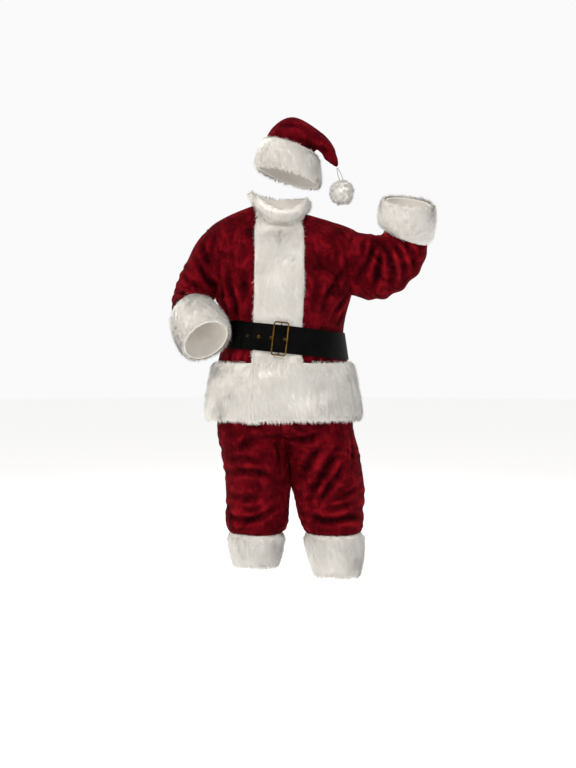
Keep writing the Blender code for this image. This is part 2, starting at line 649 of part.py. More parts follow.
def belt_bed(angle, height):
    """The jacket's face at that height, without its gathers."""
    low, high = 1.5, 5.0
    for _ in range(22):
        middle = (low + high) / 2
        low, high = (middle, high) if smooth_row(TORSO, middle).side_height < height else (low, middle)
    ring = smooth_row(TORSO, low)
    side, front = math.sin(math.radians(angle)), math.cos(math.radians(angle))
    depth = ring.front if front > 0 else ring.back
    return Vector((ring.centre_x + ring.half_width * side, -depth * front, height))


def belt_frame(angle, off):
    """A point on the belt's centre line that far off the plush, with the ways along, up and out."""
    def line(a):
        middle = belt_middle(a)
        return [belt_bed(a, middle + end * BELT_WIDTH / 2) for end in (-1, 1)]

    low, high = line(angle)
    along = (sum(line(angle + 1.0), Vector()) - sum(line(angle - 1.0), Vector())).normalized()
    out = along.cross(high - low).normalized()
    return (low + high) / 2 + out * off, along, out.cross(along), out


def belt_place(angle, off):
    """Puts a flat thing on the belt: its X along the belt, its Y up and its Z out."""
    point, along, up, out = belt_frame(angle, off)
    return Matrix.Translation(point) @ Matrix((along, up, out)).transposed().to_4x4()


def belt_ease(angle):
    """How far the belt's inner face stands off the plush: more where it crosses the fur."""
    reach = angle_between(angle, TORSO[3].turn)
    return 0.0012 + (BELT_EASE - 0.0012) * math.cos(math.pi / 2 * min(1.0, max(0.0, (reach - 30) / 30)))


def eased(share):
    share = min(1.0, max(0.0, share))
    return share * share * (3 - 2 * share)


def free_end_off(angle):
    """The inner face of the free end: over the buckle's bar, then down onto the strap's first turn."""
    over_bar = 6 * GAP + 2 * BAR_RADIUS + 2 * BELT_THICKNESS
    over_strap = GAP + BELT_THICKNESS
    climb = over_bar * eased((16.0 - (angle - BUCKLE_ANGLE)) / 14.0)
    descent = (over_bar - over_strap) * eased((BUCKLE_ANGLE - 6.0 - angle) / 12.0)
    lifted = max(0.0, (TIP_ANGLE + 24.0 - angle) / 24.0)
    return belt_ease(angle) + climb - descent + 0.006 * lifted**2




def belt_path():
    """The strap's inner face as (angle, stand-off): folded round the bar, round the waist, to the tip."""
    bed = belt_ease(BUCKLE_ANGLE)
    reach = BAR_RADIUS + 2 * GAP
    degrees = math.degrees(1 / (smooth_row(TORSO, MIDDLE_RING).front + bed))
    centre = bed + BELT_THICKNESS + reach
    fold = reach + BELT_THICKNESS
    path = [(BUCKLE_ANGLE - share * degrees, centre + fold) for share in (0.016, 0.008, 0.0)]
    path += [
        (BUCKLE_ANGLE + fold * math.sin(turn) * degrees, centre + fold * math.cos(turn))
        for turn in (math.pi * k / 6 for k in range(1, 6))
    ]
    path += [(angle, belt_ease(angle)) for angle in spread(BUCKLE_ANGLE, -332.4, 55)]
    path += [(angle - 360.0, free_end_off(angle)) for angle in spread(22.0, TIP_ANGLE + 11.0, 20)]
    path += [
        (TIP_ANGLE - 360.0 + 11.0 * share, free_end_off(TIP_ANGLE + 11.0 * share))
        for share in (0.72, 0.46, 0.24, 0.10, 0.02)
    ]
    return path


def make_belt(leather):
    """One strap: folded round the buckle's bar, round the waist, and over its own start to the tip."""
    path = belt_path()
    bm = bmesh.new()
    rings = []
    for number, (angle, off) in enumerate(path):
        before, after = path[max(0, number - 1)], path[min(len(path) - 1, number + 1)]
        point, along, up, out = belt_frame(angle, off)
        ahead = belt_frame(after[0], after[1])[0] - belt_frame(before[0], before[1])[0]
        ahead -= up * ahead.dot(up)
        outward = up.cross(ahead).normalized()
        share = min(1.0, max(0.0, (TIP_ANGLE - 360.0 + 11.0 - angle) / 11.0))
        half = BELT_WIDTH / 2 * math.sqrt(max(0.03, 1.0 - share**2.2))
        rings.append([
            bm.verts.new(point + up * height + outward * thickness)
            for height, thickness in ((-half, 0), (half, 0), (half, BELT_THICKNESS), (-half, BELT_THICKNESS))
        ])
    for first, second in zip(rings, rings[1:]):
        for k in range(4):
            bm.faces.new((first[k], first[(k + 1) % 4], second[(k + 1) % 4], second[k]))
    bm.faces.new(rings[0])
    bm.faces.new(rings[-1])
    belt = finished(bm, "belt", leather, sharp=30.0)

    bm = bmesh.new()
    for angle in EYELET_ANGLES:
        bmesh.ops.create_cone(
            bm, segments=12, radius1=0.0037, radius2=0.0037, depth=3 * BELT_THICKNESS, cap_ends=True,
            matrix=belt_place(angle, free_end_off(angle) + BELT_THICKNESS / 2),
        )
    holes = finished(bm, "eyelet_holes", leather)
    holes.hide_render = True
    holes.display_type = "WIRE"
    cut = belt.modifiers.new("eyelet holes", "BOOLEAN")
    cut.object = holes
    cut.solver = "EXACT"


def make_keeper(leather):
    """The loop of the same leather that holds the free end down."""
    first, last, wall = -37.9, -48.4, 0.0018
    half = BELT_WIDTH / 2 + 0.0006
    bm = bmesh.new()
    rings = []
    for angle in spread(first, last, 4):
        inner = belt_ease(angle) - 0.0008
        depth = 2 * BELT_THICKNESS + 0.0019
        point, _, up, out = belt_frame(angle, inner)
        hole = [(-half, 0), (half, 0), (half, depth), (-half, depth)]
        wide, low, high = half + wall, -wall, depth + wall
        outside = [(-wide, low), (wide, low), (wide, high), (-wide, high)]
        rings.append([[bm.verts.new(point + up * h + out * t) for h, t in loop] for loop in (outside, hole)])
    for (outside, inside), (next_outside, next_inside) in zip(rings, rings[1:]):
        for k in range(4):
            n = (k + 1) % 4
            bm.faces.new((outside[k], outside[n], next_outside[n], next_outside[k]))
            bm.faces.new((inside[k], next_inside[k], next_inside[n], inside[n]))
    for outside, inside in (rings[0], rings[-1]):
        for k in range(4):
            n = (k + 1) % 4
            bm.faces.new((outside[k], outside[n], inside[n], inside[k]))
    finished(bm, "belt_keeper", leather, sharp=30.0)


def make_eyelets(brass):
    """Flanged brass tubes in the holes of the free end."""
    back = -BELT_THICKNESS - GAP
    profile = [(0.0030, back), (0.0034, back), (0.0034, GAP), (0.0054, GAP), (0.0050, 0.0011), (0.0034, 0.0012)]
    for number, angle in enumerate(EYELET_ANGLES, start=1):
        bm = bmesh.new()
        ring = [bm.verts.new((radius, 0.0, height)) for radius, height in profile]
        edges = [bm.edges.new((ring[k], ring[(k + 1) % len(ring)])) for k in range(len(ring))]
        bmesh.ops.spin(
            bm, geom=ring + edges, cent=(0, 0, 0), axis=(0, 0, 1),
            angle=2 * math.pi, steps=12, use_merge=True, use_duplicate=False,
        )
        bmesh.ops.remove_doubles(bm, verts=bm.verts, dist=1e-6)
        place = belt_place(angle, free_end_off(angle) + BELT_THICKNESS)
        bmesh.ops.transform(bm, matrix=place, verts=bm.verts)
        finished(bm, f"eyelet_{number}", brass)


def rod(name, points, radius, metal, closed, sides=2):
    """A bent rod along the points, or a closed one that ends where it began."""
    curve = bpy.data.curves.new(name, "CURVE")
    curve.dimensions = "3D"
    curve.bevel_depth = radius
    curve.bevel_resolution = sides
    curve.use_fill_caps = not closed
    line = curve.splines.new("POLY")
    line.points.add(len(points) - 1)
    for spot, point in zip(line.points, points):
        spot.co = (*point, 1.0)
    line.use_cyclic_u = closed
    curve.materials.append(metal)
    made = bpy.data.objects.new(name, curve)
    bpy.context.scene.collection.objects.link(made)
    made.parent = wearer
    return made


def make_buckle(brass):
    """A plain rectangular frame over the strap, the bar behind it, and the tongue through an eyelet."""
    face = free_end_off(BUCKLE_ANGLE) + BELT_THICKNESS
    lift = 0.0016 + ROD_RADIUS
    place = belt_place(BUCKLE_ANGLE, face + lift)
    corner = 0.006
    half_x, half_y = BUCKLE_WIDTH / 2, BUCKLE_HEIGHT / 2
    outline = []
    for sign_x, sign_y, start in ((1, 1, 0), (-1, 1, 90), (-1, -1, 180), (1, -1, 270)):
        for turn in (0, 30, 60, 90):
            angle = math.radians(start + turn)
            outline.append(place @ Vector((
                sign_x * (half_x - corner) + corner * math.cos(angle),
                sign_y * (half_y - corner) + corner * math.sin(angle),
                0.0,
            )))
    rod("buckle_frame", outline, ROD_RADIUS, brass, closed=True)

    centre = belt_ease(BUCKLE_ANGLE) + BELT_THICKNESS + BAR_RADIUS + 2 * GAP
    bar = belt_place(BUCKLE_ANGLE, centre)
    under = face + lift - ROD_RADIUS - BAR_RADIUS - GAP - centre
    top = BELT_WIDTH / 2 + BAR_RADIUS + 3 * GAP
    half_view = [(top - 0.002, 0.0), (top, 0.0035), (half_y, under)]
    side_view = [(-y, z) for y, z in reversed(half_view)] + half_view
    rod("buckle_bar", [bar @ Vector((0.0, y, z)) for y, z in side_view], BAR_RADIUS, brass, closed=False)

    waist = smooth_row(TORSO, MIDDLE_RING).front + centre
    hole = math.radians(EYELET_ANGLES[3] - BUCKLE_ANGLE) * waist
    down = free_end_off(EYELET_ANGLES[3]) + BELT_THICKNESS / 2 - face - lift
    over = ROD_RADIUS + TONGUE_RADIUS + GAP
    end_view = [
        (hole - 0.0016, down - 0.0062), (hole, down - 0.0022), (hole + 0.0004, down + 0.0014),
        (hole + 0.0020, down + 0.0052), (half_x - 0.0020, over - 0.0004), (half_x + 0.001, over),
        (half_x + 0.0045, over - 0.0006),
    ]
    path = [place @ Vector((x, 0.0, z)) for x, z in end_view]
    rod("buckle_tongue", path, TONGUE_RADIUS, brass, closed=False, sides=1)


# ---------------------------------------------------------------- the trousers


def make_trousers(plush):
    levels = [0.0, 0.7, 1.4, 2.0, 2.5, 3.0, 3.5, 4.0, 4.6, 5.2, 6.0, 7.0, 8.0, 9.0, 10.0, 11.0, 12.0, 14.0]
    for side_name, rows, creases, side in (
        ("right", RIGHT_LEG, RIGHT_CREASES, -1), ("left", LEFT_LEG, LEFT_CREASES, 1),
    ):
        for half_name, half, start, end in (("front", 1, 0.12, 179.88), ("back", -1, 180.12, 359.88)):
            def surface(angle, level, rows=rows, creases=creases, side=side, half=half):
                return leg(rows, creases, side, half, angle, level)

            name = f"leg_{side_name}_{half_name}"
            cloth(name, spread(start, end, 8), levels, surface, plush, facing=-side)


def make_waistband(plush):
    """A plain elastic casing inside the jacket."""
    left, right = smooth_row(LEFT_LEG, LEG_TOP), smooth_row(RIGHT_LEG, LEG_TOP)
    high, low = left.centre_x + left.half_width, right.centre_x - right.half_width

    def surface(angle, level):
        side, front = math.sin(math.radians(angle)), math.cos(math.radians(angle))
        depth = left.front if front > 0 else left.back
        return Vector((
            (high + low) / 2 + (high - low) / 2 * side, -depth * front,
            left.height + 0.0005 + WAISTBAND_HEIGHT * level,
        ))

    cloth("waistband", spread(0.0, 360.0, 28), [0.0, 1.0], surface, plush, outer=0.0005, inner=-0.0035)


def make_leg_cuff(name, rows, fur):
    def surface(angle, level):
        ring = smooth_row(rows, level)
        turn = math.radians(angle)
        return Vector((
            ring.centre_x + ring.half_width * math.sin(turn),
            ring.centre_y - ring.half_depth * math.cos(turn),
            ring.height,
        ))

    last = len(rows) - 1.0
    cloth(
        name, spread(0.0, 360.0, 20), fur_rows(last), surface, fur,
        outer=rounded_pile(CUFF_PILE - 0.004, 0.0, last, 0.006, ends=0.45), inner=-FUR_BACK, facing=-1,
    )


# ---------------------------------------------------------------- the hat


def make_hat(plush, fur):
    last = len(HAT_BAND) - 1.0
    cloth(
        "hat_band", spread(0.0, 360.0, 24), fur_rows(last),
        lambda angle, level: sleeve(HAT_BAND, angle, level), fur,
        outer=rounded_pile(CUFF_PILE, 0.0, last, 0.005), inner=-FUR_BACK, seams=square_edge(HAT_BAND, last),
    )
    tip = len(HAT_CROWN) - 1.0
    axis = (CROWN_TIP - Vector(HAT_CROWN[-1][:3])).normalized()

    def surface(angle, level):
        if level > tip:
            return sleeve(HAT_CROWN, angle, tip).lerp(CROWN_TIP, min(1.0, level - tip))
        return sleeve(HAT_CROWN, angle, level)

    first_edge = square_edge(HAT_CROWN, 0.0)

    def ends(angle, level):
        return axis if level > tip else first_edge(angle, level)

    cloth(
        "hat_crown", spread(0.0, 360.0, 18), spread(0.0, tip, 12) + [tip + 1.0], surface, plush,
        seams=ends,
    )


def make_pompom(fur, thread):
    """A ball of fur locks, each a four-sided spike on a round core, and the loop that it hangs from."""
    bm = bmesh.new()
    bmesh.ops.create_cube(bm, size=2.0)
    bmesh.ops.subdivide_edges(bm, edges=list(bm.edges), cuts=POMPOM_LOCKS_PER_SIDE - 1, use_grid_fill=True)
    for vert in bm.verts:
        even = Vector([math.tan(c * math.pi / 4) for c in vert.co])
        vert.co = even.normalized() * POMPOM_CORE
    made = bmesh.ops.poke(bm, faces=list(bm.faces))
    for number, vert in enumerate(made["verts"]):
        reach = POMPOM_RADIUS * (0.95 + 0.05 * math.sin(number * 2.4))
        sway = Vector((math.sin(number * 1.7), math.cos(number * 2.9), math.sin(number * 0.9))) * 0.0035
        vert.co = vert.co.normalized() * reach + sway
    bmesh.ops.translate(bm, vec=POMPOM_CENTRE, verts=bm.verts)
    finished(bm, "pompom", fur, sharp=20.0)

    crest = CROWN_TIP - Vector((0.0, 0.0, LOOP_RADIUS + 0.0004 + LOOP_BEND))
    valley = math.radians(45.0 / POMPOM_LOCKS_PER_SIDE)
    points = [
        crest + Vector((math.cos(turn), 0.0, math.sin(turn))) * LOOP_BEND
        for turn in (math.radians(degrees) for degrees in (150, 120, 90, 60, 30))
    ]
    for side in (-1, 1):
        foot = POMPOM_CENTRE + Vector((side * math.sin(valley), 0.0, math.cos(valley))) * (POMPOM_CORE + 0.0036)
        strand = []
        for share in (0.0, 0.2, 0.4, 0.6, 0.8, 1.0):
            point = (crest + Vector((side * LOOP_BEND, 0.0, 0.0))).lerp(foot, share)
            point.x += side * LOOP_BOW * math.sin(math.pi * share)
            strand.append(point)
        points = list(reversed(strand)) + points if side < 0 else points + strand
    rod("pompom_loop", points, LOOP_RADIUS, thread, closed=False, sides=1)


# ---------------------------------------------------------------- build

for old in list(bpy.data.objects):
    bpy.data.objects.remove(old)

wearer = bpy.data.objects.new("wearer", None)
bpy.context.scene.collection.objects.link(wearer)
wearer.location = (0.0, 0.0, -HELD_HEIGHT)


def build():
    plush = material("red_plush", (0.235, 0.008, 0.016), 0.85)
    fur = material("white_fur", (0.80, 0.77, 0.70), 0.95)
    leather = material("black_leather", (0.012, 0.012, 0.014), 0.30)
    brass = material("brass", (0.62, 0.44, 0.18), 0.35, metallic=1.0)
    thread = material("grey_thread", (0.45, 0.45, 0.46), 0.7)

    make_fronts_and_back(plush)
    make_sleeve("sleeve_left", 1, 18, plush)
    make_sleeve("sleeve_right", -1, 18, plush)
    make_cuff("cuff_left", RAISED_CUFF, 1, fur)
    make_cuff("cuff_right", LOWERED_CUFF, -1, fur)
    make_front_band(fur)
    make_hem(fur)
    make_collar(fur)

    make_belt(leather)
    make_keeper(leather)
    make_eyelets(brass)
    make_buckle(brass)

    make_trousers(plush)
    make_waistband(plush)
    make_leg_cuff("leg_cuff_right", RIGHT_LEG_CUFF, fur)
    make_leg_cuff("leg_cuff_left", LEFT_LEG_CUFF, fur)

    make_hat(plush, fur)
    make_pompom(fur, thread)


build()
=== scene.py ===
# %% [markdown]
# # A santa suit, hollow and in its worn pose
#
# The suit is a jacket, trousers, a hat and a belt. Its cloth is a crushed crimson plush, its
# trims are long white faux fur, and the belt is black leather with a brass buckle. The packed
# solids already hang where they belong, so this lesson only dresses them: each cloth panel
# becomes a thin creased shell on its solid's form, each trim becomes a backing with fur locks
# planted in it, and the hard pieces get finer edges and real finishes.

import math
from collections import namedtuple
from types import SimpleNamespace

import bmesh
import bpy
import numpy as np
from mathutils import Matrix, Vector
from mathutils.bvhtree import BVHTree
from mathutils.kdtree import KDTree


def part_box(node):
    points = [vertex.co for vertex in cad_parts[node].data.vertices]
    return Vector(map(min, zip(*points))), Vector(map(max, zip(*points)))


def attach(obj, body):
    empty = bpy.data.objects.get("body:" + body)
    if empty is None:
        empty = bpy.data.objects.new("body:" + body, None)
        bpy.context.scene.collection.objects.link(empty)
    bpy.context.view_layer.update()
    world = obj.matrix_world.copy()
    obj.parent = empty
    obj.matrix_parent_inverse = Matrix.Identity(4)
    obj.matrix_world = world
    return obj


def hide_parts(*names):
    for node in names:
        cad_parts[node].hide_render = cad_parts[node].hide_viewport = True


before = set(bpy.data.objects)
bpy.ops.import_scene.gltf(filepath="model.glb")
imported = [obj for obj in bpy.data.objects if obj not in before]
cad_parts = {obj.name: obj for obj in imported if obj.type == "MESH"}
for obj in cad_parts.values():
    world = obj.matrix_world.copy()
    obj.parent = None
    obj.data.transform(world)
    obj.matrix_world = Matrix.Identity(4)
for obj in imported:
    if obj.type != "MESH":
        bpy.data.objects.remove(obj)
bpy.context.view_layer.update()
scene = bpy.context.scene
HEELS = 1.440  # the origin is between the shoulders, this far above the wearer's heels

# %% [markdown]
# ## Camera
# A level camera stands in front of the suit, a little below chest height, as for a catalogue
# picture. Looking level keeps upright lines upright, and a small lens shift does the framing.

# %% Camera
PICTURE = (576, 768)         # the picture's frame, across and up
METRES_PER_PIXEL = 0.0034    # at the plane through the shoulders
EYE = Vector((0.0153, -4.6, 1.12 - HEELS))
PICTURE_FLOOR = 645          # the picture's row that the heels' plane falls on
SENSOR = 36.0

lens = SENSOR * -EYE.y / (PICTURE[1] * METRES_PER_PIXEL)
eye_row = PICTURE_FLOOR - (EYE.z + HEELS) / METRES_PER_PIXEL
camera_data = bpy.data.cameras.new("camera")
camera_data.sensor_width = SENSOR
camera_data.lens = lens
camera_data.shift_y = (eye_row - PICTURE[1] / 2) / PICTURE[1]
camera = bpy.data.objects.new("camera", camera_data)
camera.location = EYE
camera.rotation_euler = (math.radians(90), 0.0, 0.0)
scene.collection.objects.link(camera)
scene.camera = camera
print(f"camera: {lens:.1f} mm lens, shift {camera_data.shift_y:.3f}")

# %% [markdown]
# ## Floor and light
# The floor is one pale disc and the room is pale too, so white fur keeps a soft edge against
# them. One large lamp in front gives the plush its lit ridges, a weaker one fills the other
# side, and two from behind draw a rim on the fur.

# %% One function for colours
def colour(code):
    """An sRGB colour written as hex digits, made linear for a shader."""
    parts = [int(code[i:i + 2], 16) / 255 for i in (0, 2, 4)]
    return (*[c / 12.92 if c <= 0.04045 else ((c + 0.055) / 1.055) ** 2.4 for c in parts], 1.0)


# %% One function for nodes
def add_node(tree, kind, values=None, links=None, **settings):
    """Adds a node of this kind, with its properties, its input values and what feeds its inputs."""
    made = tree.nodes.new("ShaderNode" + kind)
    for name, value in settings.items():
        setattr(made, name, value)
    for name, value in (values or {}).items():
        made.inputs[name].default_value = value
    for name, source in (links or {}).items():
        tree.links.new(source, made.inputs[name])
    return made


def new_material(name):
    """An empty material with its output, and the output's surface to feed."""
    made = bpy.data.materials.new(name)
    made.use_nodes = True
    made.node_tree.nodes.clear()
    output = add_node(made.node_tree, "OutputMaterial")
    return made, made.node_tree, output


# %% Floor
FLOOR_RADIUS = 14.0
FLOOR_GLOW = 0.38       # a little light of its own keeps the floor as pale as the room
bm = bmesh.new()
bmesh.ops.create_circle(bm, cap_ends=True, segments=96, radius=FLOOR_RADIUS)
bmesh.ops.translate(bm, vec=(0.0, 0.0, -HEELS), verts=bm.verts)
floor_mesh = bpy.data.meshes.new("floor")
bm.to_mesh(floor_mesh)
bm.free()
floor = bpy.data.objects.new("floor", floor_mesh)
scene.collection.objects.link(floor)

floor_paint, tree, output = new_material("matt_studio_paint")
shader = add_node(tree, "BsdfPrincipled",
                  {"Base Color": colour("F2F1EF"), "Roughness": 0.95,
                   "Emission Color": colour("FFFFFF"), "Emission Strength": FLOOR_GLOW})
tree.links.new(shader.outputs["BSDF"], output.inputs["Surface"])
floor_mesh.materials.append(floor_paint)

# %% Light
scene.view_settings.view_transform = "Standard"  # colours as they are, as a catalogue prints them
Lamp = namedtuple("Lamp", "name place size power tint")
LAMPS = [
    Lamp("key", (-1.7, -3.2, 1.9), 1.5, 92.0, "FFF9F2"),
    Lamp("fill", (2.9, -3.0, 0.3), 2.2, 18.0, "F4F7FF"),
    Lamp("rim_left", (-2.6, 2.2, 1.4), 1.2, 40.0, "FFFFFF"),
    Lamp("rim_right", (2.6, 2.2, 1.4), 1.2, 40.0, "FFFFFF"),
]
LAMPS_AIM = Vector((0.05, 0.0, -0.35))   # about the middle of the suit
for lamp in LAMPS:
    data = bpy.data.lights.new(lamp.name, "AREA")
    data.size, data.energy, data.color = lamp.size, lamp.power, colour(lamp.tint)[:3]
    made = bpy.data.objects.new(lamp.name, data)
    made.location = lamp.place
    aim = LAMPS_AIM - made.location
    made.rotation_euler = aim.to_track_quat("-Z", "Y").to_euler()
    scene.collection.objects.link(made)

world = bpy.data.worlds.new("pale_room")
world.use_nodes = True
ROOM_LIGHT, ROOM_SHOWN = 0.62, 0.97   # what lights the suit, and what the eye sees behind it
tree = world.node_tree
room = tree.nodes["Background"]
room.inputs["Color"].default_value = colour("FDFDFE")
seen = add_node(tree, "LightPath").outputs["Is Camera Ray"]
strength = add_node(tree, "MapRange", {"To Min": ROOM_LIGHT, "To Max": ROOM_SHOWN}, {"Value": seen})
tree.links.new(strength.outputs["Result"], room.inputs["Strength"])
scene.world = world
print(len(LAMPS), "lamps")

# %% [markdown]
# ## Finish: crushed plush
# Crushed plush is a knitted polyester pile, a few millimetres long and pressed every way in
# patches, so its colour runs from deep wine red to bright crimson in soft patches a few
# centimetres wide. On that, the creases get painted shade in their valleys and a painted
# highlight on their ridges, from their depth, which each panel keeps in an attribute named fold.
# Sheen gives the pale edge that pile has at a glancing angle.

# %% Plush
PATCH_MM = 58.0    # a patch of pile that lies one way
STREAK_MM = 11.0   # the marks of a hand or a crease across a patch
PILE_MM = 2.6      # tufts of pile; a single fibre is too fine to show, so tufts are drawn
PATCH_SHARE, STREAK_SHARE, PILE_SHARE, FOLD_SHADE_SHARE = 0.66, 0.24, 0.12, 0.18   # of the colour's place; the fold's share is painted shade in valleys and painted highlight on ridges


def per_metre(millimetres):
    """The texture scale at which one feature of the pattern has this size."""
    return 1000.0 / millimetres


def make_plush():
    """Plush whose colour varies in patches of pile, with painted shade in the creases' valleys and a painted
    highlight on their ridges.
    """
    made, tree, output = new_material("crushed_polyester_plush")
    place = add_node(tree, "TexCoord").outputs["Object"]
    fold = add_node(tree, "Attribute", attribute_name="fold").outputs["Fac"]
    patch = add_node(tree, "TexNoise", {"Scale": per_metre(PATCH_MM), "Detail": 3.0, "Roughness": 0.55,
                                        "Distortion": 0.9}, {"Vector": place}).outputs["Fac"]
    squeezed = add_node(tree, "Mapping", {"Scale": (1.0, 1.0, 0.45)}, {"Vector": place}).outputs["Vector"]
    streak = add_node(tree, "TexNoise", {"Scale": per_metre(STREAK_MM), "Detail": 3.0, "Roughness": 0.6,
                                         "Distortion": 0.5}, {"Vector": squeezed}).outputs["Fac"]
    pile = add_node(tree, "TexNoise", {"Scale": per_metre(PILE_MM), "Detail": 2.0, "Roughness": 0.6},
                    {"Vector": place}).outputs["Fac"]

    nap_and_fold_shade = add_node(tree, "Math", {1: PATCH_SHARE}, {0: patch}, operation="MULTIPLY").outputs[0]
    # the fold adds painted shade where a crease is deep and a painted highlight on its ridges
    for share, more in ((STREAK_SHARE, streak), (PILE_SHARE, pile), (FOLD_SHADE_SHARE, fold)):
        nap_and_fold_shade = add_node(tree, "Math", {1: share}, {0: more, 2: nap_and_fold_shade}, operation="MULTIPLY_ADD").outputs[0]
    # the ramp runs from the dark of a valley's painted shade through the plush's wine red to the bright of a
    # ridge's painted highlight; the pile's patches move the colour along it too
    ramp = add_node(tree, "ValToRGB", links={"Fac": nap_and_fold_shade})
    stops = ramp.color_ramp.elements
    stops[0].position, stops[0].color = 0.30, colour("1C0003")
    stops[1].position, stops[1].color = 0.76, colour("85101B")
    middle = stops.new(0.52)
    middle.color = colour("4F030C")

    height = add_node(tree, "Math", {1: 0.8}, {0: streak, 2: pile}, operation="MULTIPLY_ADD").outputs[0]
    bump = add_node(tree, "Bump", {"Strength": 0.35, "Distance": 0.004}, {"Height": height}).outputs["Normal"]
    shader = add_node(
        tree, "BsdfPrincipled",
        {"Roughness": 0.92, "Sheen Weight": 0.11, "Sheen Roughness": 0.42, "Sheen Tint": colour("D0202C"),
         "Specular IOR Level": 0.03},
        {"Base Color": ramp.outputs["Color"], "Normal": bump})
    tree.links.new(shader.outputs["BSDF"], output.inputs["Surface"])
    return made


plush = make_plush()
print("made", plush.name)

# %% [markdown]
# ## Cloth from its solid
# A panel's solid is a wall with an outer sheet, an inner sheet and narrow rims. The copy is
# merged, cut along its rims and only the outer sheet is kept, which subdivision then rounds
# between its rings. A creased shell is lighter and more truthful than a carved block, and
# Solidify gives it back its thickness at the end, so its edges are real edges.

# %% Take the outer sheet of a wall
MERGE = 1e-5
PAIR_BEND, PAIR_SKEW = math.radians(50), math.radians(70)   # up to these, two triangles make a quad
RIM_TURN = math.radians(60)  # a rim meets its sheets at about a right angle


def merged_copy(node):
    """A bmesh of the node, whose loose triangles are merged and paired into quads again."""
    bm = bmesh.new()
    bm.from_mesh(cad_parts[node].data)
    bmesh.ops.remove_doubles(bm, verts=bm.verts, dist=MERGE)
    bmesh.ops.join_triangles(bm, faces=bm.faces, angle_face_threshold=PAIR_BEND,
                             angle_shape_threshold=PAIR_SKEW, cmp_seam=False, cmp_sharp=False,
                             cmp_uvs=False, cmp_vcols=False, cmp_materials=False)
    return bm


def sheets_of(bm):
    """Cuts the wall along its rims, and returns its sheets as lists of faces, the largest first."""
    rims = [e for e in bm.edges if len(e.link_faces) == 2 and e.calc_face_angle() > RIM_TURN]
    bmesh.ops.split_edges(bm, edges=rims)
    met, sheets = set(), []
    for start in bm.faces:
        if start in met:
            continue
        met.add(start)
        sheet = [start]
        for face in sheet:               # the sheet grows while it is gone through
            for edge in face.edges:
                for other in edge.link_faces:
                    if other not in met:
                        met.add(other)
                        sheet.append(other)
        sheets.append(sheet)
    return sorted(sheets, key=lambda faces: -sum(face.calc_area() for face in faces))


def outer_sheet(node):
    """The outer sheet of the node's wall as a bmesh of its own."""
    bm = merged_copy(node)
    keep = set(sheets_of(bm)[0])
    bmesh.ops.delete(bm, geom=[f for f in bm.faces if f not in keep], context="FACES")
    bmesh.ops.remove_doubles(bm, verts=bm.verts, dist=MERGE)  # a sharp fold inside the sheet closes again
    return bm


# %% Finish a mesh as a piece of the suit
def add_piece(name, bm, material):
    """The bmesh as an object that rides with the suit; the bmesh is freed."""
    mesh = bpy.data.meshes.new(name)
    bm.to_mesh(mesh)
    bm.free()
    mesh.materials.append(material)
    mesh.shade_smooth()
    made = bpy.data.objects.new(name, mesh)
    scene.collection.objects.link(made)
    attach(made, "root")
    return made


def apply_modifiers(piece):
    """Turns what the modifiers show into the piece's own mesh."""
    shown = piece.evaluated_get(bpy.context.evaluated_depsgraph_get())
    mesh = bpy.data.meshes.new_from_object(shown)
    piece.modifiers.clear()
    piece.data = mesh


def unit(ways):
    """The same ways, each one metre long."""
    return ways / np.maximum(np.linalg.norm(ways, axis=-1, keepdims=True), 1e-9)


def points_of(mesh):
    """The mesh's points and their normals, as two arrays."""
    count = len(mesh.vertices)
    points, normals = np.empty(count * 3), np.empty(count * 3)
    mesh.vertices.foreach_get("co", points)
    mesh.vertices.foreach_get("normal", normals)
    return points.reshape(-1, 3), normals.reshape(-1, 3)


# %% [markdown]
# ## Creases
# Creases are drawn as a few points of a line seen from one side of the suit, with the
# line's half width and depth. Each is laid on the cloth and pressed in as a soft trough with a
# low ridge along both sides, deepest in its middle and gone at its ends. The same line is
# pressed into every panel that it crosses, so a fold runs on over a seam.

# %% How a crease is pressed in
Crease = namedtuple("Crease", "side depth width points")
WAYS_IN = {  # from which side a line is seen: where across and up are, and which way it is looked at
    "front": (lambda across, up: Vector((across, -2.0, up)), Vector((0.0, 1.0, 0.0))),
    "back": (lambda across, up: Vector((across, 2.0, up)), Vector((0.0, -1.0, 0.0))),
    "left": (lambda across, up: Vector((2.0, across, up)), Vector((-1.0, 0.0, 0.0))),
    "right": (lambda across, up: Vector((-2.0, across, up)), Vector((1.0, 0.0, 0.0))),
}
TO_MIDDLE = 1.9     # from where a line is seen to about the suit's middle
LINE_STEPS = 12     # points laid between two points of a crease
RIDGE_SHARE = 0.45  # a ridge's height beside a trough, as a share of the depth
RIDGE_OFF, RIDGE_WIDE = 1.9, 0.75   # how far off the line it is, and how wide, in the line's half widths
PRESSED = 4         # a crease moves no point that is farther off than this many half widths


def curve_through(points, steps):
    """A smooth line through the points (Catmull-Rom)."""
    ends = [2 * points[0] - points[1], *points, 2 * points[-1] - points[-2]]
    line = []
    for a, b, c, d in zip(ends, ends[1:], ends[2:], ends[3:]):
        for share in np.arange(steps) / steps:
            line.append(0.5 * (2 * b + (c - a) * share + (2 * a - 5 * b + 4 * c - d) * share ** 2
                               + (3 * b - a - 3 * c + d) * share ** 3))
    return np.array([*line, points[-1]])


def laid_line(crease, cloth):
    """The crease's line on the cloth, where cloth is a BVH tree of all the panels it may cross."""
    start, way = WAYS_IN[crease.side]
    flat = curve_through([np.array(p, float) for p in crease.points], LINE_STEPS)
    line = []
    for across, height in flat:
        origin = start(across, height - HEELS)
        hit = cloth.ray_cast(origin, way)[0]
        line.append(hit if hit is not None else cloth.find_nearest(origin + way * TO_MIDDLE)[0])
    return np.array(line)


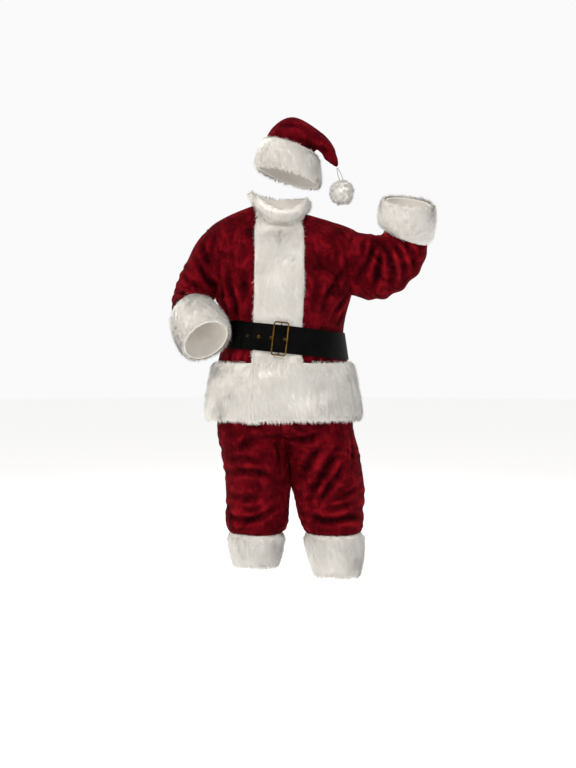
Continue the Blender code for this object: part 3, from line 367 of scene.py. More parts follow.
def pressed(points, line, width, depth):
    """How far each point moves out for one crease: down in its trough and up in its ridges."""
    share = np.linspace(0.0, 1.0, len(line))
    low, high = line.min(0) - PRESSED * width, line.max(0) + PRESSED * width
    near = np.flatnonzero(((points > low) & (points < high)).all(1))
    moved = np.zeros(len(points))
    if len(near) == 0:
        return moved
    gaps = np.linalg.norm(points[near, None, :] - line[None, :, :], axis=2)
    nearest = gaps.argmin(1)
    off = gaps[np.arange(len(near)), nearest] / width
    fade = np.sin(np.pi * np.clip(share[nearest], 0.02, 0.98)) ** 0.6
    trough = np.exp(-off ** 2)
    ridge = np.exp(-((off - RIDGE_OFF) / RIDGE_WIDE) ** 2)
    moved[near] = depth * fade * (RIDGE_SHARE * ridge - trough)
    return moved


def wander(points, size, seed, waves=9):
    """A smooth random number for each point, about -1 to 1, that changes over this many metres."""
    rng = np.random.default_rng(seed)
    ways = rng.normal(size=(waves, 3))
    ways *= (2.2 / size) * rng.uniform(0.6, 1.4, (waves, 1)) / np.linalg.norm(ways, axis=1, keepdims=True)
    starts = rng.uniform(0, 2 * np.pi, waves)
    return np.sin(points @ ways.T + starts).sum(1) / math.sqrt(waves) * 0.8


# %% The creases of each garment
JACKET_CREASES = [
    # the wearer's right shoulder and sleeve, where two long folds drop from the armhole
    Crease("front", 0.0060, 0.010, [(-0.275, 1.365), (-0.262, 1.320), (-0.243, 1.270)]),
    Crease("front", 0.0070, 0.011, [(-0.300, 1.310), (-0.262, 1.255), (-0.228, 1.205), (-0.240, 1.165)]),
    Crease("front", 0.0055, 0.009, [(-0.340, 1.255), (-0.305, 1.225), (-0.262, 1.205)]),
    Crease("front", 0.0060, 0.009, [(-0.358, 1.205), (-0.320, 1.190), (-0.275, 1.190)]),
    Crease("front", 0.0045, 0.008, [(-0.365, 1.165), (-0.335, 1.165), (-0.300, 1.178)]),
    Crease("front", 0.0040, 0.008, [(-0.225, 1.395), (-0.240, 1.350), (-0.238, 1.300)]),
    # the chest beside the band
    Crease("front", 0.0050, 0.014, [(-0.135, 1.275), (-0.128, 1.210), (-0.132, 1.150)]),
    Crease("front", 0.0055, 0.013, [(-0.190, 1.280), (-0.178, 1.215), (-0.160, 1.150), (-0.158, 1.110)]),
    Crease("front", 0.0045, 0.011, [(-0.215, 1.190), (-0.195, 1.150), (-0.185, 1.110)]),
    Crease("front", 0.0040, 0.010, [(-0.110, 1.190), (-0.112, 1.150), (-0.118, 1.112)]),
    Crease("front", 0.0050, 0.012, [(0.108, 1.260), (0.112, 1.200), (0.098, 1.140)]),
    Crease("front", 0.0055, 0.013, [(0.215, 1.290), (0.175, 1.230), (0.140, 1.180), (0.128, 1.120)]),
    Crease("front", 0.0050, 0.011, [(0.228, 1.225), (0.205, 1.175), (0.172, 1.130), (0.160, 1.100)]),
    Crease("front", 0.0045, 0.010, [(0.205, 1.150), (0.196, 1.120), (0.178, 1.090)]),
    Crease("front", 0.0045, 0.010, [(0.160, 1.385), (0.180, 1.330), (0.172, 1.285)]),
    Crease("front", 0.0040, 0.009, [(0.130, 1.350), (0.120, 1.310), (0.128, 1.270)]),
    # below the belt
    Crease("front", 0.0050, 0.009, [(0.102, 1.010), (0.108, 0.975), (0.104, 0.930)]),
    Crease("front", 0.0050, 0.008, [(0.140, 1.000), (0.150, 0.965), (0.158, 0.930)]),
    Crease("front", 0.0050, 0.009, [(0.178, 0.990), (0.188, 0.955), (0.200, 0.925)]),
    Crease("front", 0.0050, 0.009, [(-0.130, 1.010), (-0.138, 0.975), (-0.150, 0.935)]),
    Crease("front", 0.0050, 0.009, [(-0.168, 1.010), (-0.180, 0.970), (-0.190, 0.930)]),
    # the raised sleeve: drapes that fan out from the inside of the elbow
    Crease("front", 0.0065, 0.009, [(0.262, 1.372), (0.268, 1.345), (0.262, 1.310)]),
    Crease("front", 0.0080, 0.011, [(0.312, 1.382), (0.300, 1.345), (0.276, 1.290), (0.246, 1.235)]),
    Crease("front", 0.0075, 0.010, [(0.328, 1.372), (0.322, 1.320), (0.312, 1.255), (0.300, 1.205)]),
    Crease("front", 0.0080, 0.011, [(0.336, 1.370), (0.352, 1.320), (0.362, 1.262), (0.356, 1.210)]),
    Crease("front", 0.0065, 0.010, [(0.348, 1.376), (0.378, 1.340), (0.400, 1.290), (0.402, 1.238)]),
    Crease("front", 0.0055, 0.009, [(0.362, 1.380), (0.405, 1.358), (0.432, 1.318), (0.440, 1.275)]),
    Crease("front", 0.0040, 0.008, [(0.385, 1.388), (0.430, 1.375), (0.462, 1.345)]),
    # the back: pulls from the armholes, a sway above the belt and the skirt below it
    Crease("back", 0.0060, 0.013, [(0.205, 1.330), (0.165, 1.285), (0.120, 1.260)]),
    Crease("back", 0.0060, 0.013, [(-0.210, 1.320), (-0.170, 1.270), (-0.128, 1.245)]),
    Crease("back", 0.0055, 0.012, [(0.222, 1.240), (0.185, 1.190), (0.148, 1.140), (0.140, 1.100)]),
    Crease("back", 0.0055, 0.012, [(-0.215, 1.245), (-0.188, 1.190), (-0.150, 1.135), (-0.138, 1.095)]),
    Crease("back", 0.0050, 0.014, [(0.055, 1.225), (0.040, 1.165), (0.048, 1.100)]),
    Crease("back", 0.0050, 0.013, [(-0.050, 1.235), (-0.062, 1.170), (-0.052, 1.105)]),
    Crease("back", 0.0045, 0.012, [(0.095, 1.180), (0.100, 1.140), (0.092, 1.098)]),
    Crease("back", 0.0040, 0.012, [(-0.098, 1.165), (-0.102, 1.130), (-0.094, 1.096)]),
    Crease("back", 0.0050, 0.015, [(-0.110, 1.385), (-0.030, 1.370), (0.070, 1.378)]),
    Crease("back", 0.0050, 0.009, [(0.060, 1.010), (0.066, 0.970), (0.060, 0.930)]),
    Crease("back", 0.0055, 0.009, [(0.118, 1.008), (0.128, 0.970), (0.135, 0.930)]),
    Crease("back", 0.0050, 0.009, [(-0.020, 1.010), (-0.014, 0.972), (-0.022, 0.930)]),
    Crease("back", 0.0055, 0.009, [(-0.080, 1.008), (-0.090, 0.970), (-0.088, 0.930)]),
    Crease("back", 0.0050, 0.009, [(-0.140, 1.005), (-0.152, 0.965), (-0.160, 0.930)]),
    Crease("back", 0.0070, 0.011, [(0.300, 1.370), (0.298, 1.310), (0.280, 1.245)]),
    Crease("back", 0.0070, 0.011, [(0.330, 1.350), (0.345, 1.290), (0.338, 1.225)]),
    Crease("back", 0.0065, 0.010, [(0.350, 1.365), (0.392, 1.320), (0.405, 1.260)]),
    Crease("back", 0.0050, 0.009, [(0.380, 1.385), (0.430, 1.355), (0.455, 1.310)]),
    Crease("back", 0.0060, 0.011, [(-0.270, 1.360), (-0.285, 1.300), (-0.275, 1.240)]),
    Crease("back", 0.0055, 0.010, [(-0.310, 1.300), (-0.325, 1.250), (-0.300, 1.205)]),
    # the wearer's right side, round the bent elbow
    Crease("right", 0.0055, 0.010, [(0.060, 1.235), (0.015, 1.215), (-0.040, 1.215)]),
    Crease("right", 0.0060, 0.010, [(0.055, 1.195), (0.000, 1.180), (-0.060, 1.195)]),
    Crease("right", 0.0045, 0.009, [(0.030, 1.290), (-0.010, 1.275), (-0.050, 1.285)]),
]
TROUSER_CREASES = [
    # the wearer's right leg, in front
    Crease("front", 0.0070, 0.011, [(-0.190, 0.592), (-0.135, 0.602), (-0.080, 0.600), (-0.035, 0.585)]),
    Crease("front", 0.0050, 0.012, [(-0.170, 0.672), (-0.120, 0.700), (-0.078, 0.722)]),
    Crease("front", 0.0050, 0.011, [(-0.185, 0.642), (-0.130, 0.648), (-0.075, 0.638)]),
    Crease("front", 0.0055, 0.012, [(-0.180, 0.525), (-0.130, 0.515), (-0.070, 0.530)]),
    Crease("front", 0.0080, 0.011, [(-0.195, 0.443), (-0.130, 0.440), (-0.070, 0.455), (-0.020, 0.490)]),
    Crease("front", 0.0045, 0.009, [(-0.150, 0.478), (-0.105, 0.474), (-0.060, 0.488)]),
    Crease("front", 0.0050, 0.010, [(-0.025, 0.740), (-0.018, 0.680), (-0.012, 0.610)]),
    Crease("front", 0.0040, 0.010, [(-0.060, 0.745), (-0.095, 0.758), (-0.140, 0.752)]),
    # the wearer's left leg, in front
    Crease("front", 0.0085, 0.014, [(0.185, 0.690), (0.150, 0.630), (0.110, 0.565), (0.080, 0.500)]),
    Crease("front", 0.0060, 0.011, [(0.205, 0.640), (0.180, 0.590), (0.140, 0.540), (0.112, 0.490)]),
    Crease("front", 0.0060, 0.013, [(0.130, 0.690), (0.085, 0.640), (0.048, 0.570)]),
    Crease("front", 0.0080, 0.011, [(0.085, 0.448), (0.150, 0.438), (0.215, 0.446), (0.268, 0.440)]),
    Crease("front", 0.0055, 0.009, [(0.135, 0.478), (0.190, 0.484), (0.240, 0.498)]),
    Crease("front", 0.0050, 0.009, [(0.250, 0.545), (0.215, 0.525), (0.180, 0.520)]),
    Crease("front", 0.0050, 0.011, [(0.005, 0.705), (0.065, 0.712), (0.125, 0.722)]),
    Crease("front", 0.0045, 0.010, [(0.222, 0.730), (0.232, 0.670), (0.228, 0.600)]),
    # the centre seam, where both legs meet
    Crease("front", 0.0070, 0.009, [(-0.012, 0.790), (0.004, 0.700), (0.016, 0.615), (0.022, 0.580)]),
    # behind: the seat and the backs of the knees
    Crease("back", 0.0070, 0.012, [(0.160, 0.742), (0.095, 0.705), (0.030, 0.690)]),
    Crease("back", 0.0070, 0.012, [(-0.140, 0.742), (-0.080, 0.708), (-0.020, 0.692)]),
    Crease("back", 0.0065, 0.012, [(0.222, 0.600), (0.160, 0.578), (0.090, 0.590)]),
    Crease("back", 0.0065, 0.012, [(-0.180, 0.608), (-0.115, 0.590), (-0.045, 0.600)]),
    Crease("back", 0.0060, 0.011, [(0.235, 0.520), (0.170, 0.535), (0.105, 0.520)]),
    Crease("back", 0.0060, 0.011, [(-0.190, 0.540), (-0.125, 0.530), (-0.055, 0.545)]),
    Crease("back", 0.0075, 0.011, [(0.260, 0.450), (0.180, 0.440), (0.100, 0.456)]),
    Crease("back", 0.0075, 0.011, [(-0.195, 0.446), (-0.120, 0.438), (-0.040, 0.452)]),
    Crease("back", 0.0070, 0.009, [(0.002, 0.790), (0.010, 0.700), (0.020, 0.610)]),
    # the sides
    Crease("left", 0.0060, 0.010, [(-0.070, 0.470), (0.000, 0.462), (0.070, 0.470)]),
    Crease("left", 0.0055, 0.010, [(-0.070, 0.520), (0.000, 0.510), (0.065, 0.530)]),
    Crease("left", 0.0045, 0.010, [(-0.060, 0.640), (0.000, 0.625), (0.060, 0.640)]),
    Crease("right", 0.0060, 0.010, [(0.070, 0.482), (0.000, 0.470), (-0.070, 0.478)]),
    Crease("right", 0.0055, 0.010, [(0.070, 0.600), (0.000, 0.585), (-0.070, 0.598)]),
    Crease("right", 0.0045, 0.010, [(0.060, 0.680), (0.000, 0.665), (-0.060, 0.676)]),
]
HAT_CREASES = [
    Crease("front", 0.0040, 0.010, [(0.000, 1.715), (0.075, 1.700), (0.135, 1.655), (0.172, 1.630)]),
    Crease("front", 0.0030, 0.009, [(-0.045, 1.745), (0.005, 1.760), (0.060, 1.748), (0.110, 1.712)]),
    Crease("back", 0.0040, 0.010, [(0.000, 1.715), (0.075, 1.705), (0.135, 1.665)]),
    Crease("back", 0.0035, 0.010, [(-0.050, 1.730), (0.000, 1.752), (0.055, 1.745)]),
]
print(len(JACKET_CREASES), len(TROUSER_CREASES), len(HAT_CREASES), "creases")

# %% Small crinkles between the main creases
Crinkles = namedtuple("Crinkles", "count seed slant")  # slant: how upright they stand, from 0 to 1
CRINKLE_TURN = 0.35                # how far one turns from that, in radians
CRINKLE_REACH = (0.022, 0.050)     # half of its length
CRINKLE_BOW = (-0.006, 0.006)      # how far its middle is off a straight line
CRINKLE_WIDTH = (0.0055, 0.0085)
CRINKLE_DEPTH = (0.0012, 0.0030)


def crinkle_lines(points, normals, crinkles):
    """Short lines scattered over the cloth, as (line, width, depth)."""
    rng = np.random.default_rng(crinkles.seed)
    made = []
    for _ in range(crinkles.count):
        at = rng.integers(len(points))
        place, out = points[at], normals[at]
        level = np.cross(out, (0.0, 0.0, 1.0))
        level /= max(np.linalg.norm(level), 1e-6)
        upright = np.cross(level, out)
        turn = rng.normal(0.0, CRINKLE_TURN) + crinkles.slant * math.pi / 2
        along = level * math.cos(turn) + upright * math.sin(turn)
        reach = rng.uniform(*CRINKLE_REACH)
        bow = rng.uniform(*CRINKLE_BOW)
        steps = np.linspace(-1.0, 1.0, 9)[:, None]
        line = place + along * steps * reach + upright * bow * (1 - steps ** 2)
        made.append((line, rng.uniform(*CRINKLE_WIDTH), rng.uniform(*CRINKLE_DEPTH)))
    return made


# %% [markdown]
# ## Panels
# A panel is its solid's outer sheet. Every open edge goes on a little and turns inside, as a seam
# allowance does, so two panels meet in a real seam and no gap shows. Subdivision rounds it.

# %% Seam allowances
TURNED_IN = 0.0045     # how far the allowance goes inside
SPARE = 0.0015         # how far it goes on first, under its neighbour
SLEEVE_SPARE = 0.003   # the same for a sleeve, which meets the body at an angle
STRAIGHT = 0.96        # the ways out on both sides of a point agree this much, unless it is a corner


def rim_ways(bm):
    """The points on a sheet's open edge, each with the way out of the sheet and the normal there."""
    bm.normal_update()
    rims = {}
    for edge in bm.edges:
        if edge.is_boundary:
            face = edge.link_faces[0]
            out = (edge.verts[1].co - edge.verts[0].co).normalized().cross(face.normal)
            if out.dot(edge.verts[0].co - face.calc_center_median()) < 0:
                out.negate()
            for vert in edge.verts:
                rims.setdefault(vert, []).append((out, face.normal.copy()))
    ways = {}
    for vert, found in rims.items():
        out, up = (sum(vectors, Vector()) for vectors in zip(*found))
        straight = out.length > STRAIGHT * len(found)        # at a corner there is no one way out
        ways[vert] = (out.normalized() if straight else Vector(), up.normalized())
    return ways


def put_in_order(parts, old):
    """Sorts by place what an extrusion has added to the old parts, because it adds in any order."""
    parts.index_update()
    added = [part for part in parts if part not in old]
    places = {part: tuple(sum((vert.co for vert in getattr(part, "verts", [part])), Vector()))
              for part in added}
    for number, part in zip([part.index for part in added], sorted(added, key=places.get)):
        part.index = number
    parts.sort()
    parts.index_update()


def one_way_round(mesh):
    """Runs each added edge from its lower point number to its higher one, as it comes either way."""
    ends, added = np.empty(len(mesh.edges) * 2, np.int32), np.empty(len(mesh.edges), np.int32)
    mesh.edges.foreach_get("vertices", ends)
    mesh.attributes["added"].data.foreach_get("value", added)
    ends = ends.reshape(-1, 2)
    ends[added == 1] = np.sort(ends[added == 1])
    mesh.edges.foreach_set("vertices", ends.ravel())
    mesh.attributes.remove(mesh.attributes["added"])


def turn_in(bm, spare):
    """Adds a seam allowance: every open edge goes on for a little and inside, under its neighbour."""
    crease = bm.edges.layers.float.new("crease_edge")    # subdivision keeps these edges sharp
    added = bm.edges.layers.int.new("added")             # 1 on what the extrusion makes
    press = bm.verts.layers.float_vector.new("press")    # the way that creases are pressed in
    bm.normal_update()
    for vert in bm.verts:
        vert[press] = vert.normal
    moves = {vert.co.copy().freeze(): out * spare - up * TURNED_IN
             for vert, (out, up) in rim_ways(bm).items()}
    rim = [edge for edge in bm.edges if edge.is_boundary]
    for edge in rim:
        edge[crease] = 1.0
    olds = [set(parts) for parts in (bm.verts, bm.edges, bm.faces)]
    for vert in bmesh.ops.extrude_edge_only(bm, edges=rim)["geom"]:
        if isinstance(vert, bmesh.types.BMVert):
            vert.co += moves[vert.co.copy().freeze()]
    for edge in bm.edges:
        edge[added] = edge not in olds[1]
    for parts, old in zip((bm.verts, bm.edges, bm.faces), olds):
        put_in_order(parts, old)


# %% A rounded panel, and its wall
SHELL = 0.0020         # the plush's thickness


def plush_panel(node, levels=2, spare=SPARE):
    """The panel's outer sheet, rounded between its rings, ready for creases."""
    bm = outer_sheet(node)
    turn_in(bm, spare)
    made = add_piece("cloth_" + node, bm, plush)
    one_way_round(made.data)
    rounding = made.modifiers.new("rounding", "SUBSURF")
    rounding.levels = rounding.render_levels = levels
    rounding.boundary_smooth = "PRESERVE_CORNERS"
    apply_modifiers(made)
    made.data.shade_smooth()
    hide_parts(node)
    return made


def thicken(piece):
    """Gives a panel its wall, inwards from the sheet."""
    wall = piece.modifiers.new("wall", "SOLIDIFY")
    wall.thickness = SHELL
    wall.offset = -1.0
    apply_modifiers(piece)


# %% Find places on a panel
def vectors_of(mesh, name):
    """One vector for each point, from the mesh's attribute of this name."""
    found = np.zeros(len(mesh.vertices) * 3)
    mesh.attributes[name].data.foreach_get("vector", found)
    return found.reshape(-1, 3)


def nearest_finder(places):
    """A tree that finds the nearest of these places."""
    tree = KDTree(len(places))
    for number, place in enumerate(places):
        tree.insert(place, number)
    tree.balance()
    return tree


def edge_places(mesh):
    """Places along a panel's open edges."""
    bm = bmesh.new()
    bm.from_mesh(mesh)
    places = []
    for edge in bm.edges:
        if edge.is_boundary:
            a, b = (vert.co.copy() for vert in edge.verts)
            places += [a, (a + b) / 2]
    bm.free()
    return places


# %% Press the creases in
DEEPEST, HIGHEST = -0.011, 0.0048   # the creases together go no farther in or out than this
FULL_FOLD = 0.0060     # the depth at which a crease's painted shade is darkest
SEAM_DIP = 0.0012      # how far a panel rolls in at its seams
SEAM_REACH = 0.006
SEAM_FOLD_SHADE = 0.5        # and how much of a full fold's painted shade that adds
SEAM_HELD = 0.55       # a seam is stiffer than the cloth, so creases are this much shallower on it
SEAM_STIFF = 0.022


def cloth_of(pieces):
    """All of a garment's panels as one tree, and their points."""
    points, faces = [], []
    for piece in pieces:
        shift = len(points)
        points += [v.co.copy() for v in piece.data.vertices]
        faces += [[shift + i for i in face.vertices] for face in piece.data.polygons]
    return BVHTree.FromPolygons(points, faces), np.array(points)


def crease_panels(pieces, creases, crinkles, calm=None):
    """Presses the creases into a garment's panels, and keeps each point's depth as its fold, which the plush
    turns into painted shade and highlight.
    """
    cloth, points = cloth_of(pieces)
    normals = unit(np.concatenate([vectors_of(piece.data, "press") for piece in pieces]))
    moved = np.zeros(len(points))
    for crease in creases:
        moved += pressed(points, laid_line(crease, cloth), crease.width, crease.depth)
    for line, width, depth in crinkle_lines(points, normals, crinkles):
        moved += pressed(points, line, width, depth)
    moved = np.clip(moved, DEEPEST, HIGHEST)
    fold = moved / FULL_FOLD
    if calm is not None:
        moved *= calm(points)
    start = 0
    for piece in pieces:
        count = len(piece.data.vertices)
        part = slice(start, start + count)
        edge = nearest_finder(edge_places(piece.data))
        gaps = np.array([edge.find(vert.co)[2] for vert in piece.data.vertices])
        dip = SEAM_DIP * np.exp(-(gaps / SEAM_REACH) ** 2)
        held = 1 - SEAM_HELD * np.exp(-(gaps / SEAM_STIFF) ** 2)
        places = points[part] + normals[part] * (moved[part] * held - dip)[:, None]
        piece.data.vertices.foreach_set("co", places.ravel())
        # the fold is painted shade in a valley and a painted highlight on a ridge, and a seam's roll-in adds
        # painted shade
        kept = piece.data.attributes.new("fold", "FLOAT", "POINT")
        kept.data.foreach_set("value", np.clip(fold[part] - dip / SEAM_DIP * SEAM_FOLD_SHADE, -1.2, 1.0))
        piece.data.update()
        start += count


# %% The calm cloth under the belt
BELT_LINE = 1.022      # the belt's middle in front, above the heels
BELT_SLOPE = -0.085    # how much it rises for each metre across
BELT_FLAT = 0.040      # no crease is this near to the belt's middle
BELT_CALM = 0.060      # and from here on the creases have their full depth


def belt_calm(points):
    """Creases fade where the belt holds the cloth flat."""
    slope = BELT_SLOPE * points[:, 0]
    off = np.abs(points[:, 2] + HEELS - BELT_LINE - slope)
    return np.clip((off - BELT_FLAT) / (BELT_CALM - BELT_FLAT), 0.0, 1.0)


# %% Parts that rest on each other
SNUG = 0.06            # two parts that rest on each other sink in by this share of their gap
SNUG_FADE = 0.02       # over this height, at both ends of where they rest


def snug(ones, others, reach, low, high):
    """Closes the narrow gap between two parts of a garment that rest on each other, from low to high."""
    sides = [np.concatenate([points_of(piece.data)[0] for piece in pieces]) for pieces in (ones, others)]
    trees = [nearest_finder(side) for side in sides]
    moves = []
    for pieces, tree in ((ones, trees[1]), (others, trees[0])):
        for piece in pieces:
            places = points_of(piece.data)[0]
            for number in np.flatnonzero((places[:, 2] > low - HEELS) & (places[:, 2] < high - HEELS)):
                place = Vector(places[number])
                there, _, gap = tree.find(place)
                if gap < reach:
                    height = places[number][2] + HEELS
                    fades = (height - low) / SNUG_FADE, (high - height) / SNUG_FADE
                    share = min(1.0, 2 * (1 - gap / reach), *fades)
                    moves.append((piece, int(number), (there - place) * (0.5 + SNUG) * share))
    for piece, number, move in moves:
        piece.data.vertices[number].co += move
    for piece in (*ones, *others):
        piece.data.update()
    print("snug:", len(moves), "points moved")


# %% [markdown]
# ## The three plush garments
# Each garment's panels are made and creased together, so that a fold runs on over a seam. Then the
# legs are closed where the thighs touch, and the sleeves where they lie on the body's side.

# %% Jacket, trousers and hat
jacket = [plush_panel(node) for node in ("back", "front_left", "front_right")]
jacket += [plush_panel(node, spare=SLEEVE_SPARE) for node in ("sleeve_left", "sleeve_right")]
trousers = [plush_panel(node, levels=3) for node in
            ("leg_left_front", "leg_left_back", "leg_right_front", "leg_right_back")]
trousers.append(plush_panel("waistband"))
hat = [plush_panel("hat_crown")]
crease_panels(jacket, JACKET_CREASES, Crinkles(110, 21, 0.55), belt_calm)
crease_panels(trousers, TROUSER_CREASES, Crinkles(120, 22, 0.12))
crease_panels(hat, HAT_CREASES, Crinkles(8, 23, 0.4))
snug(trousers[:2], trousers[2:4], reach=0.036, low=0.62, high=0.78)   # the thighs
snug(trousers[:2], trousers[2:4], reach=0.014, low=0.52, high=0.80)
snug(jacket[:3], jacket[4:5], reach=0.020, low=1.13, high=1.24)       # the bent elbow, on the side
snug(jacket[:3], jacket[3:], reach=0.014, low=1.08, high=1.48)        # both armholes
for piece in (*jacket, *trousers, *hat):
    thicken(piece)
    print(piece.name, len(piece.data.polygons), "faces")


# %% [markdown]
# ## Finish: long white faux fur
# Faux fur is a modacrylic pile, some 20 to 30 mm long. Light goes into it and comes out soft
# and slightly warm, and its tips are the whitest. The beige between its locks is painted shade,
# so the colour follows an attribute named along, which runs from a lock's root to its tip.

# %% Fur
DRIFT_MM = 70.0   # slow warmer and greyer places in the pile
FIBRE_MM = 1.6    # bundles of fibres; single fibres are far too fine to show
DRIFT_SHARE = 0.34


def make_fur():
    """Fur whose colour runs from a lock's root, beige with painted shade, to the white of its tip."""
    made, tree, output = new_material("modacrylic_faux_fur")
    place = add_node(tree, "TexCoord").outputs["Object"]
    along = add_node(tree, "Attribute", attribute_name="along").outputs["Fac"]
    drift = add_node(tree, "TexNoise", {"Scale": per_metre(DRIFT_MM), "Detail": 3.0},
                     {"Vector": place}).outputs["Fac"]
    fibre = add_node(tree, "TexNoise", {"Scale": per_metre(FIBRE_MM), "Detail": 2.0},
                     {"Vector": place}).outputs["Fac"]
    tone = add_node(tree, "Math", {1: DRIFT_SHARE}, {0: drift, 2: along}, operation="MULTIPLY_ADD").outputs[0]
    # the ramp's beige low end is painted shade deep in the pile; the white high end is the fur's own colour
    ramp = add_node(tree, "ValToRGB", links={"Fac": tone})
    stops = ramp.color_ramp.elements
    stops[0].position, stops[0].color = 0.16, colour("D0C6B9")
    stops[1].position, stops[1].color = 1.0, colour("FCFAF5")
    middle = stops.new(0.52)
    middle.color = colour("EDE8E0")
    bump = add_node(tree, "Bump", {"Strength": 0.4, "Distance": 0.0015}, {"Height": fibre}).outputs["Normal"]
    shader = add_node(
        tree, "BsdfPrincipled",
        {"Roughness": 0.82, "Sheen Weight": 0.35, "Sheen Roughness": 0.5, "Sheen Tint": colour("FFFDF8"),
         "Specular IOR Level": 0.2},
        {"Base Color": ramp.outputs["Color"], "Normal": bump})
    tree.links.new(shader.outputs["BSDF"], output.inputs["Surface"])
    return made


white_fur = make_fur()
print("made", white_fur.name)


# %% [markdown]
# ## Fur in locks
# Faux fur is planted in a backing, and its fibres gather in locks. One lock is a three-sided
# spike of four points, made once and copied with arrays, because a hundred thousand of them
# need only a few faces each. Every lock starts in the backing and lies along the trim the way
# the pile is combed. At an edge the locks lean out over it and draw together in pointed tufts.

# %% One lock
def lock_shape():
    """The lock's points as (across, across, share of the way to the tip), and its faces."""
    bm = bmesh.new()
    bmesh.ops.create_cone(bm, cap_ends=True, segments=3, radius1=1.0, radius2=0.0, depth=1.0)
    bmesh.ops.translate(bm, vec=(0.0, 0.0, 0.5), verts=bm.verts)
    bmesh.ops.remove_doubles(bm, verts=bm.verts, dist=1e-4)
    bmesh.ops.recalc_face_normals(bm, faces=bm.faces)
    bm.verts.index_update()
    points = np.array([vert.co for vert in bm.verts])
    faces = np.array([[vert.index for vert in face.verts] for face in bm.faces])
    bm.free()
    return points, faces


LOCK_POINTS, LOCK_FACES = lock_shape()
ROOT_TONE, TIP_TONE = 0.34, 0.84   # how pale a lock is, from the fur's ramp; the darker root is painted shade deep in the pile
OWN_SHADE = 0.28                   # how much a lock's own roundness adds to the trim's shading
print("a lock has", len(LOCK_POINTS), "points and", len(LOCK_FACES), "triangles")


def plant(name, roots, tips, normals, widths, tones, both=None):
    """All the locks of one trim as one mesh piece, each from its root to its tip.

    Light goes round and through fine fibres, so a lock is shaded mostly as the trim's surface is.
    Those marked in both stand free, and are lit from behind as well.
    """
    count, size = len(roots), len(LOCK_POINTS)
    way = unit(tips - roots)
    side = unit(np.cross(way, np.where(np.abs(way[:, 2:]) < 0.9, (0.0, 0.0, 1.0), (1.0, 0.0, 0.0))))
    other = np.cross(way, side)
    across = side[:, None] * LOCK_POINTS[None, :, :1] + other[:, None] * LOCK_POINTS[None, :, 1:2]
    up = LOCK_POINTS[:, 2]
    points = (roots[:, None] + (tips - roots)[:, None] * up[None, :, None]
              + across * widths[:, None, None]).reshape(-1, 3)
    loops = (LOCK_FACES.ravel()[None, :] + np.arange(count)[:, None] * size).ravel()
    mesh = bpy.data.meshes.new(name)
    mesh.vertices.add(len(points))
    mesh.vertices.foreach_set("co", points.ravel())
    mesh.loops.add(len(loops))
    mesh.loops.foreach_set("vertex_index", loops.astype(np.int32))
    mesh.polygons.add(len(loops) // 3)
    mesh.polygons.foreach_set("loop_start", np.arange(0, len(loops), 3, dtype=np.int32))
    mesh.update(calc_edges=True)
    # each lock is darker towards its root, a painted shade deep in the pile
    along = mesh.attributes.new("along", "FLOAT", "POINT")
    along.data.foreach_set("value", (ROOT_TONE + (TIP_TONE - ROOT_TONE) * up + tones[:, None]).ravel())
    mesh.materials.append(white_fur)
    mesh.shade_smooth()
    shading = unit(normals[:, None] + OWN_SHADE * across / np.maximum(1e-9, np.abs(across).max()))
    corners = shading[:, LOCK_FACES]
    if both is not None:
        spikes = points.reshape(count, size, 3)[:, LOCK_FACES]
        flats = unit(np.cross(spikes[:, :, 1] - spikes[:, :, 0], spikes[:, :, 2] - spikes[:, :, 0]))
        away = (flats * normals[:, None]).sum(2) < 0
        corners[both] *= np.where(away[both], -1.0, 1.0)[:, :, None, None]
    mesh.normals_split_custom_set(corners.reshape(-1, 3).tolist())
    made = bpy.data.objects.new(name, mesh)
    scene.collection.objects.link(made)
    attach(made, "root")
    return made


# %% Scatter points over a sheet
def scattered(mesh, count, rng):
    """Points spread evenly by chance over a mesh, with their smooth normals."""
    mesh.calc_loop_triangles()
    corners = np.array([t.vertices for t in mesh.loop_triangles])
    points, normals = points_of(mesh)
    a, b, c = (points[corners[:, i]] for i in range(3))
    areas = np.linalg.norm(np.cross(b - a, c - a), axis=1) / 2
    ladder = np.cumsum(areas) / areas.sum()
    picks = np.searchsorted(ladder, (np.arange(count) + rng.uniform(0, 1, count)) / count)
    picks = np.minimum(picks, len(corners) - 1)
    u, v = rng.uniform(0, 1, count), rng.uniform(0, 1, count)
    over = u + v > 1
    u[over], v[over] = 1 - u[over], 1 - v[over]
    mix = np.stack([1 - u - v, u, v], axis=1)[:, :, None]
    return (points[corners[picks]] * mix).sum(1), unit((normals[corners[picks]] * mix).sum(1))


# %% How each trim's fur is combed
# long: a lock's length; comb: the way it is combed; swirl: how far that way wanders; over: how
# far tufts lie over the cloth at a sewn edge; free: how far they reach past a free edge; opens:
# the way the free edge faces, or None where there is none.
UP, DOWN = (0.0, 0.0, 1.0), (0.0, 0.0, -1.0)
Trim = namedtuple("Trim", "node spacing long comb swirl over free opens")
TRIMS = [
    Trim("front_band", 0.00245, 0.024, DOWN, 0.34, 0.007, 0.0, None),
    Trim("hem_left", 0.0026, 0.030, (-0.04, 0.0, -1.0), 0.32, 0.009, 0.010, DOWN),
    Trim("hem_right", 0.0026, 0.030, (0.06, 0.0, -1.0), 0.32, 0.009, 0.010, DOWN),
    Trim("hem_back", 0.0028, 0.030, DOWN, 0.32, 0.009, 0.010, DOWN),
    Trim("collar", 0.0026, 0.022, DOWN, 0.40, 0.005, 0.004, UP),
    Trim("cuff_left", 0.0026, 0.027, (0.1, -0.1, 1.0), 0.50, 0.008, 0.006, UP),
    Trim("cuff_right", 0.0026, 0.027, (0.5, -0.6, -0.6), 0.50, 0.008, 0.006, (0.5, -0.6, -0.6)),
    Trim("leg_cuff_left", 0.0026, 0.034, DOWN, 0.30, 0.012, 0.009, DOWN),
    Trim("leg_cuff_right", 0.0026, 0.034, DOWN, 0.30, 0.012, 0.009, DOWN),
    Trim("hat_band", 0.0026, 0.025, (0.15, 0.0, -1.0), 0.60, 0.010, 0.004, DOWN),
]

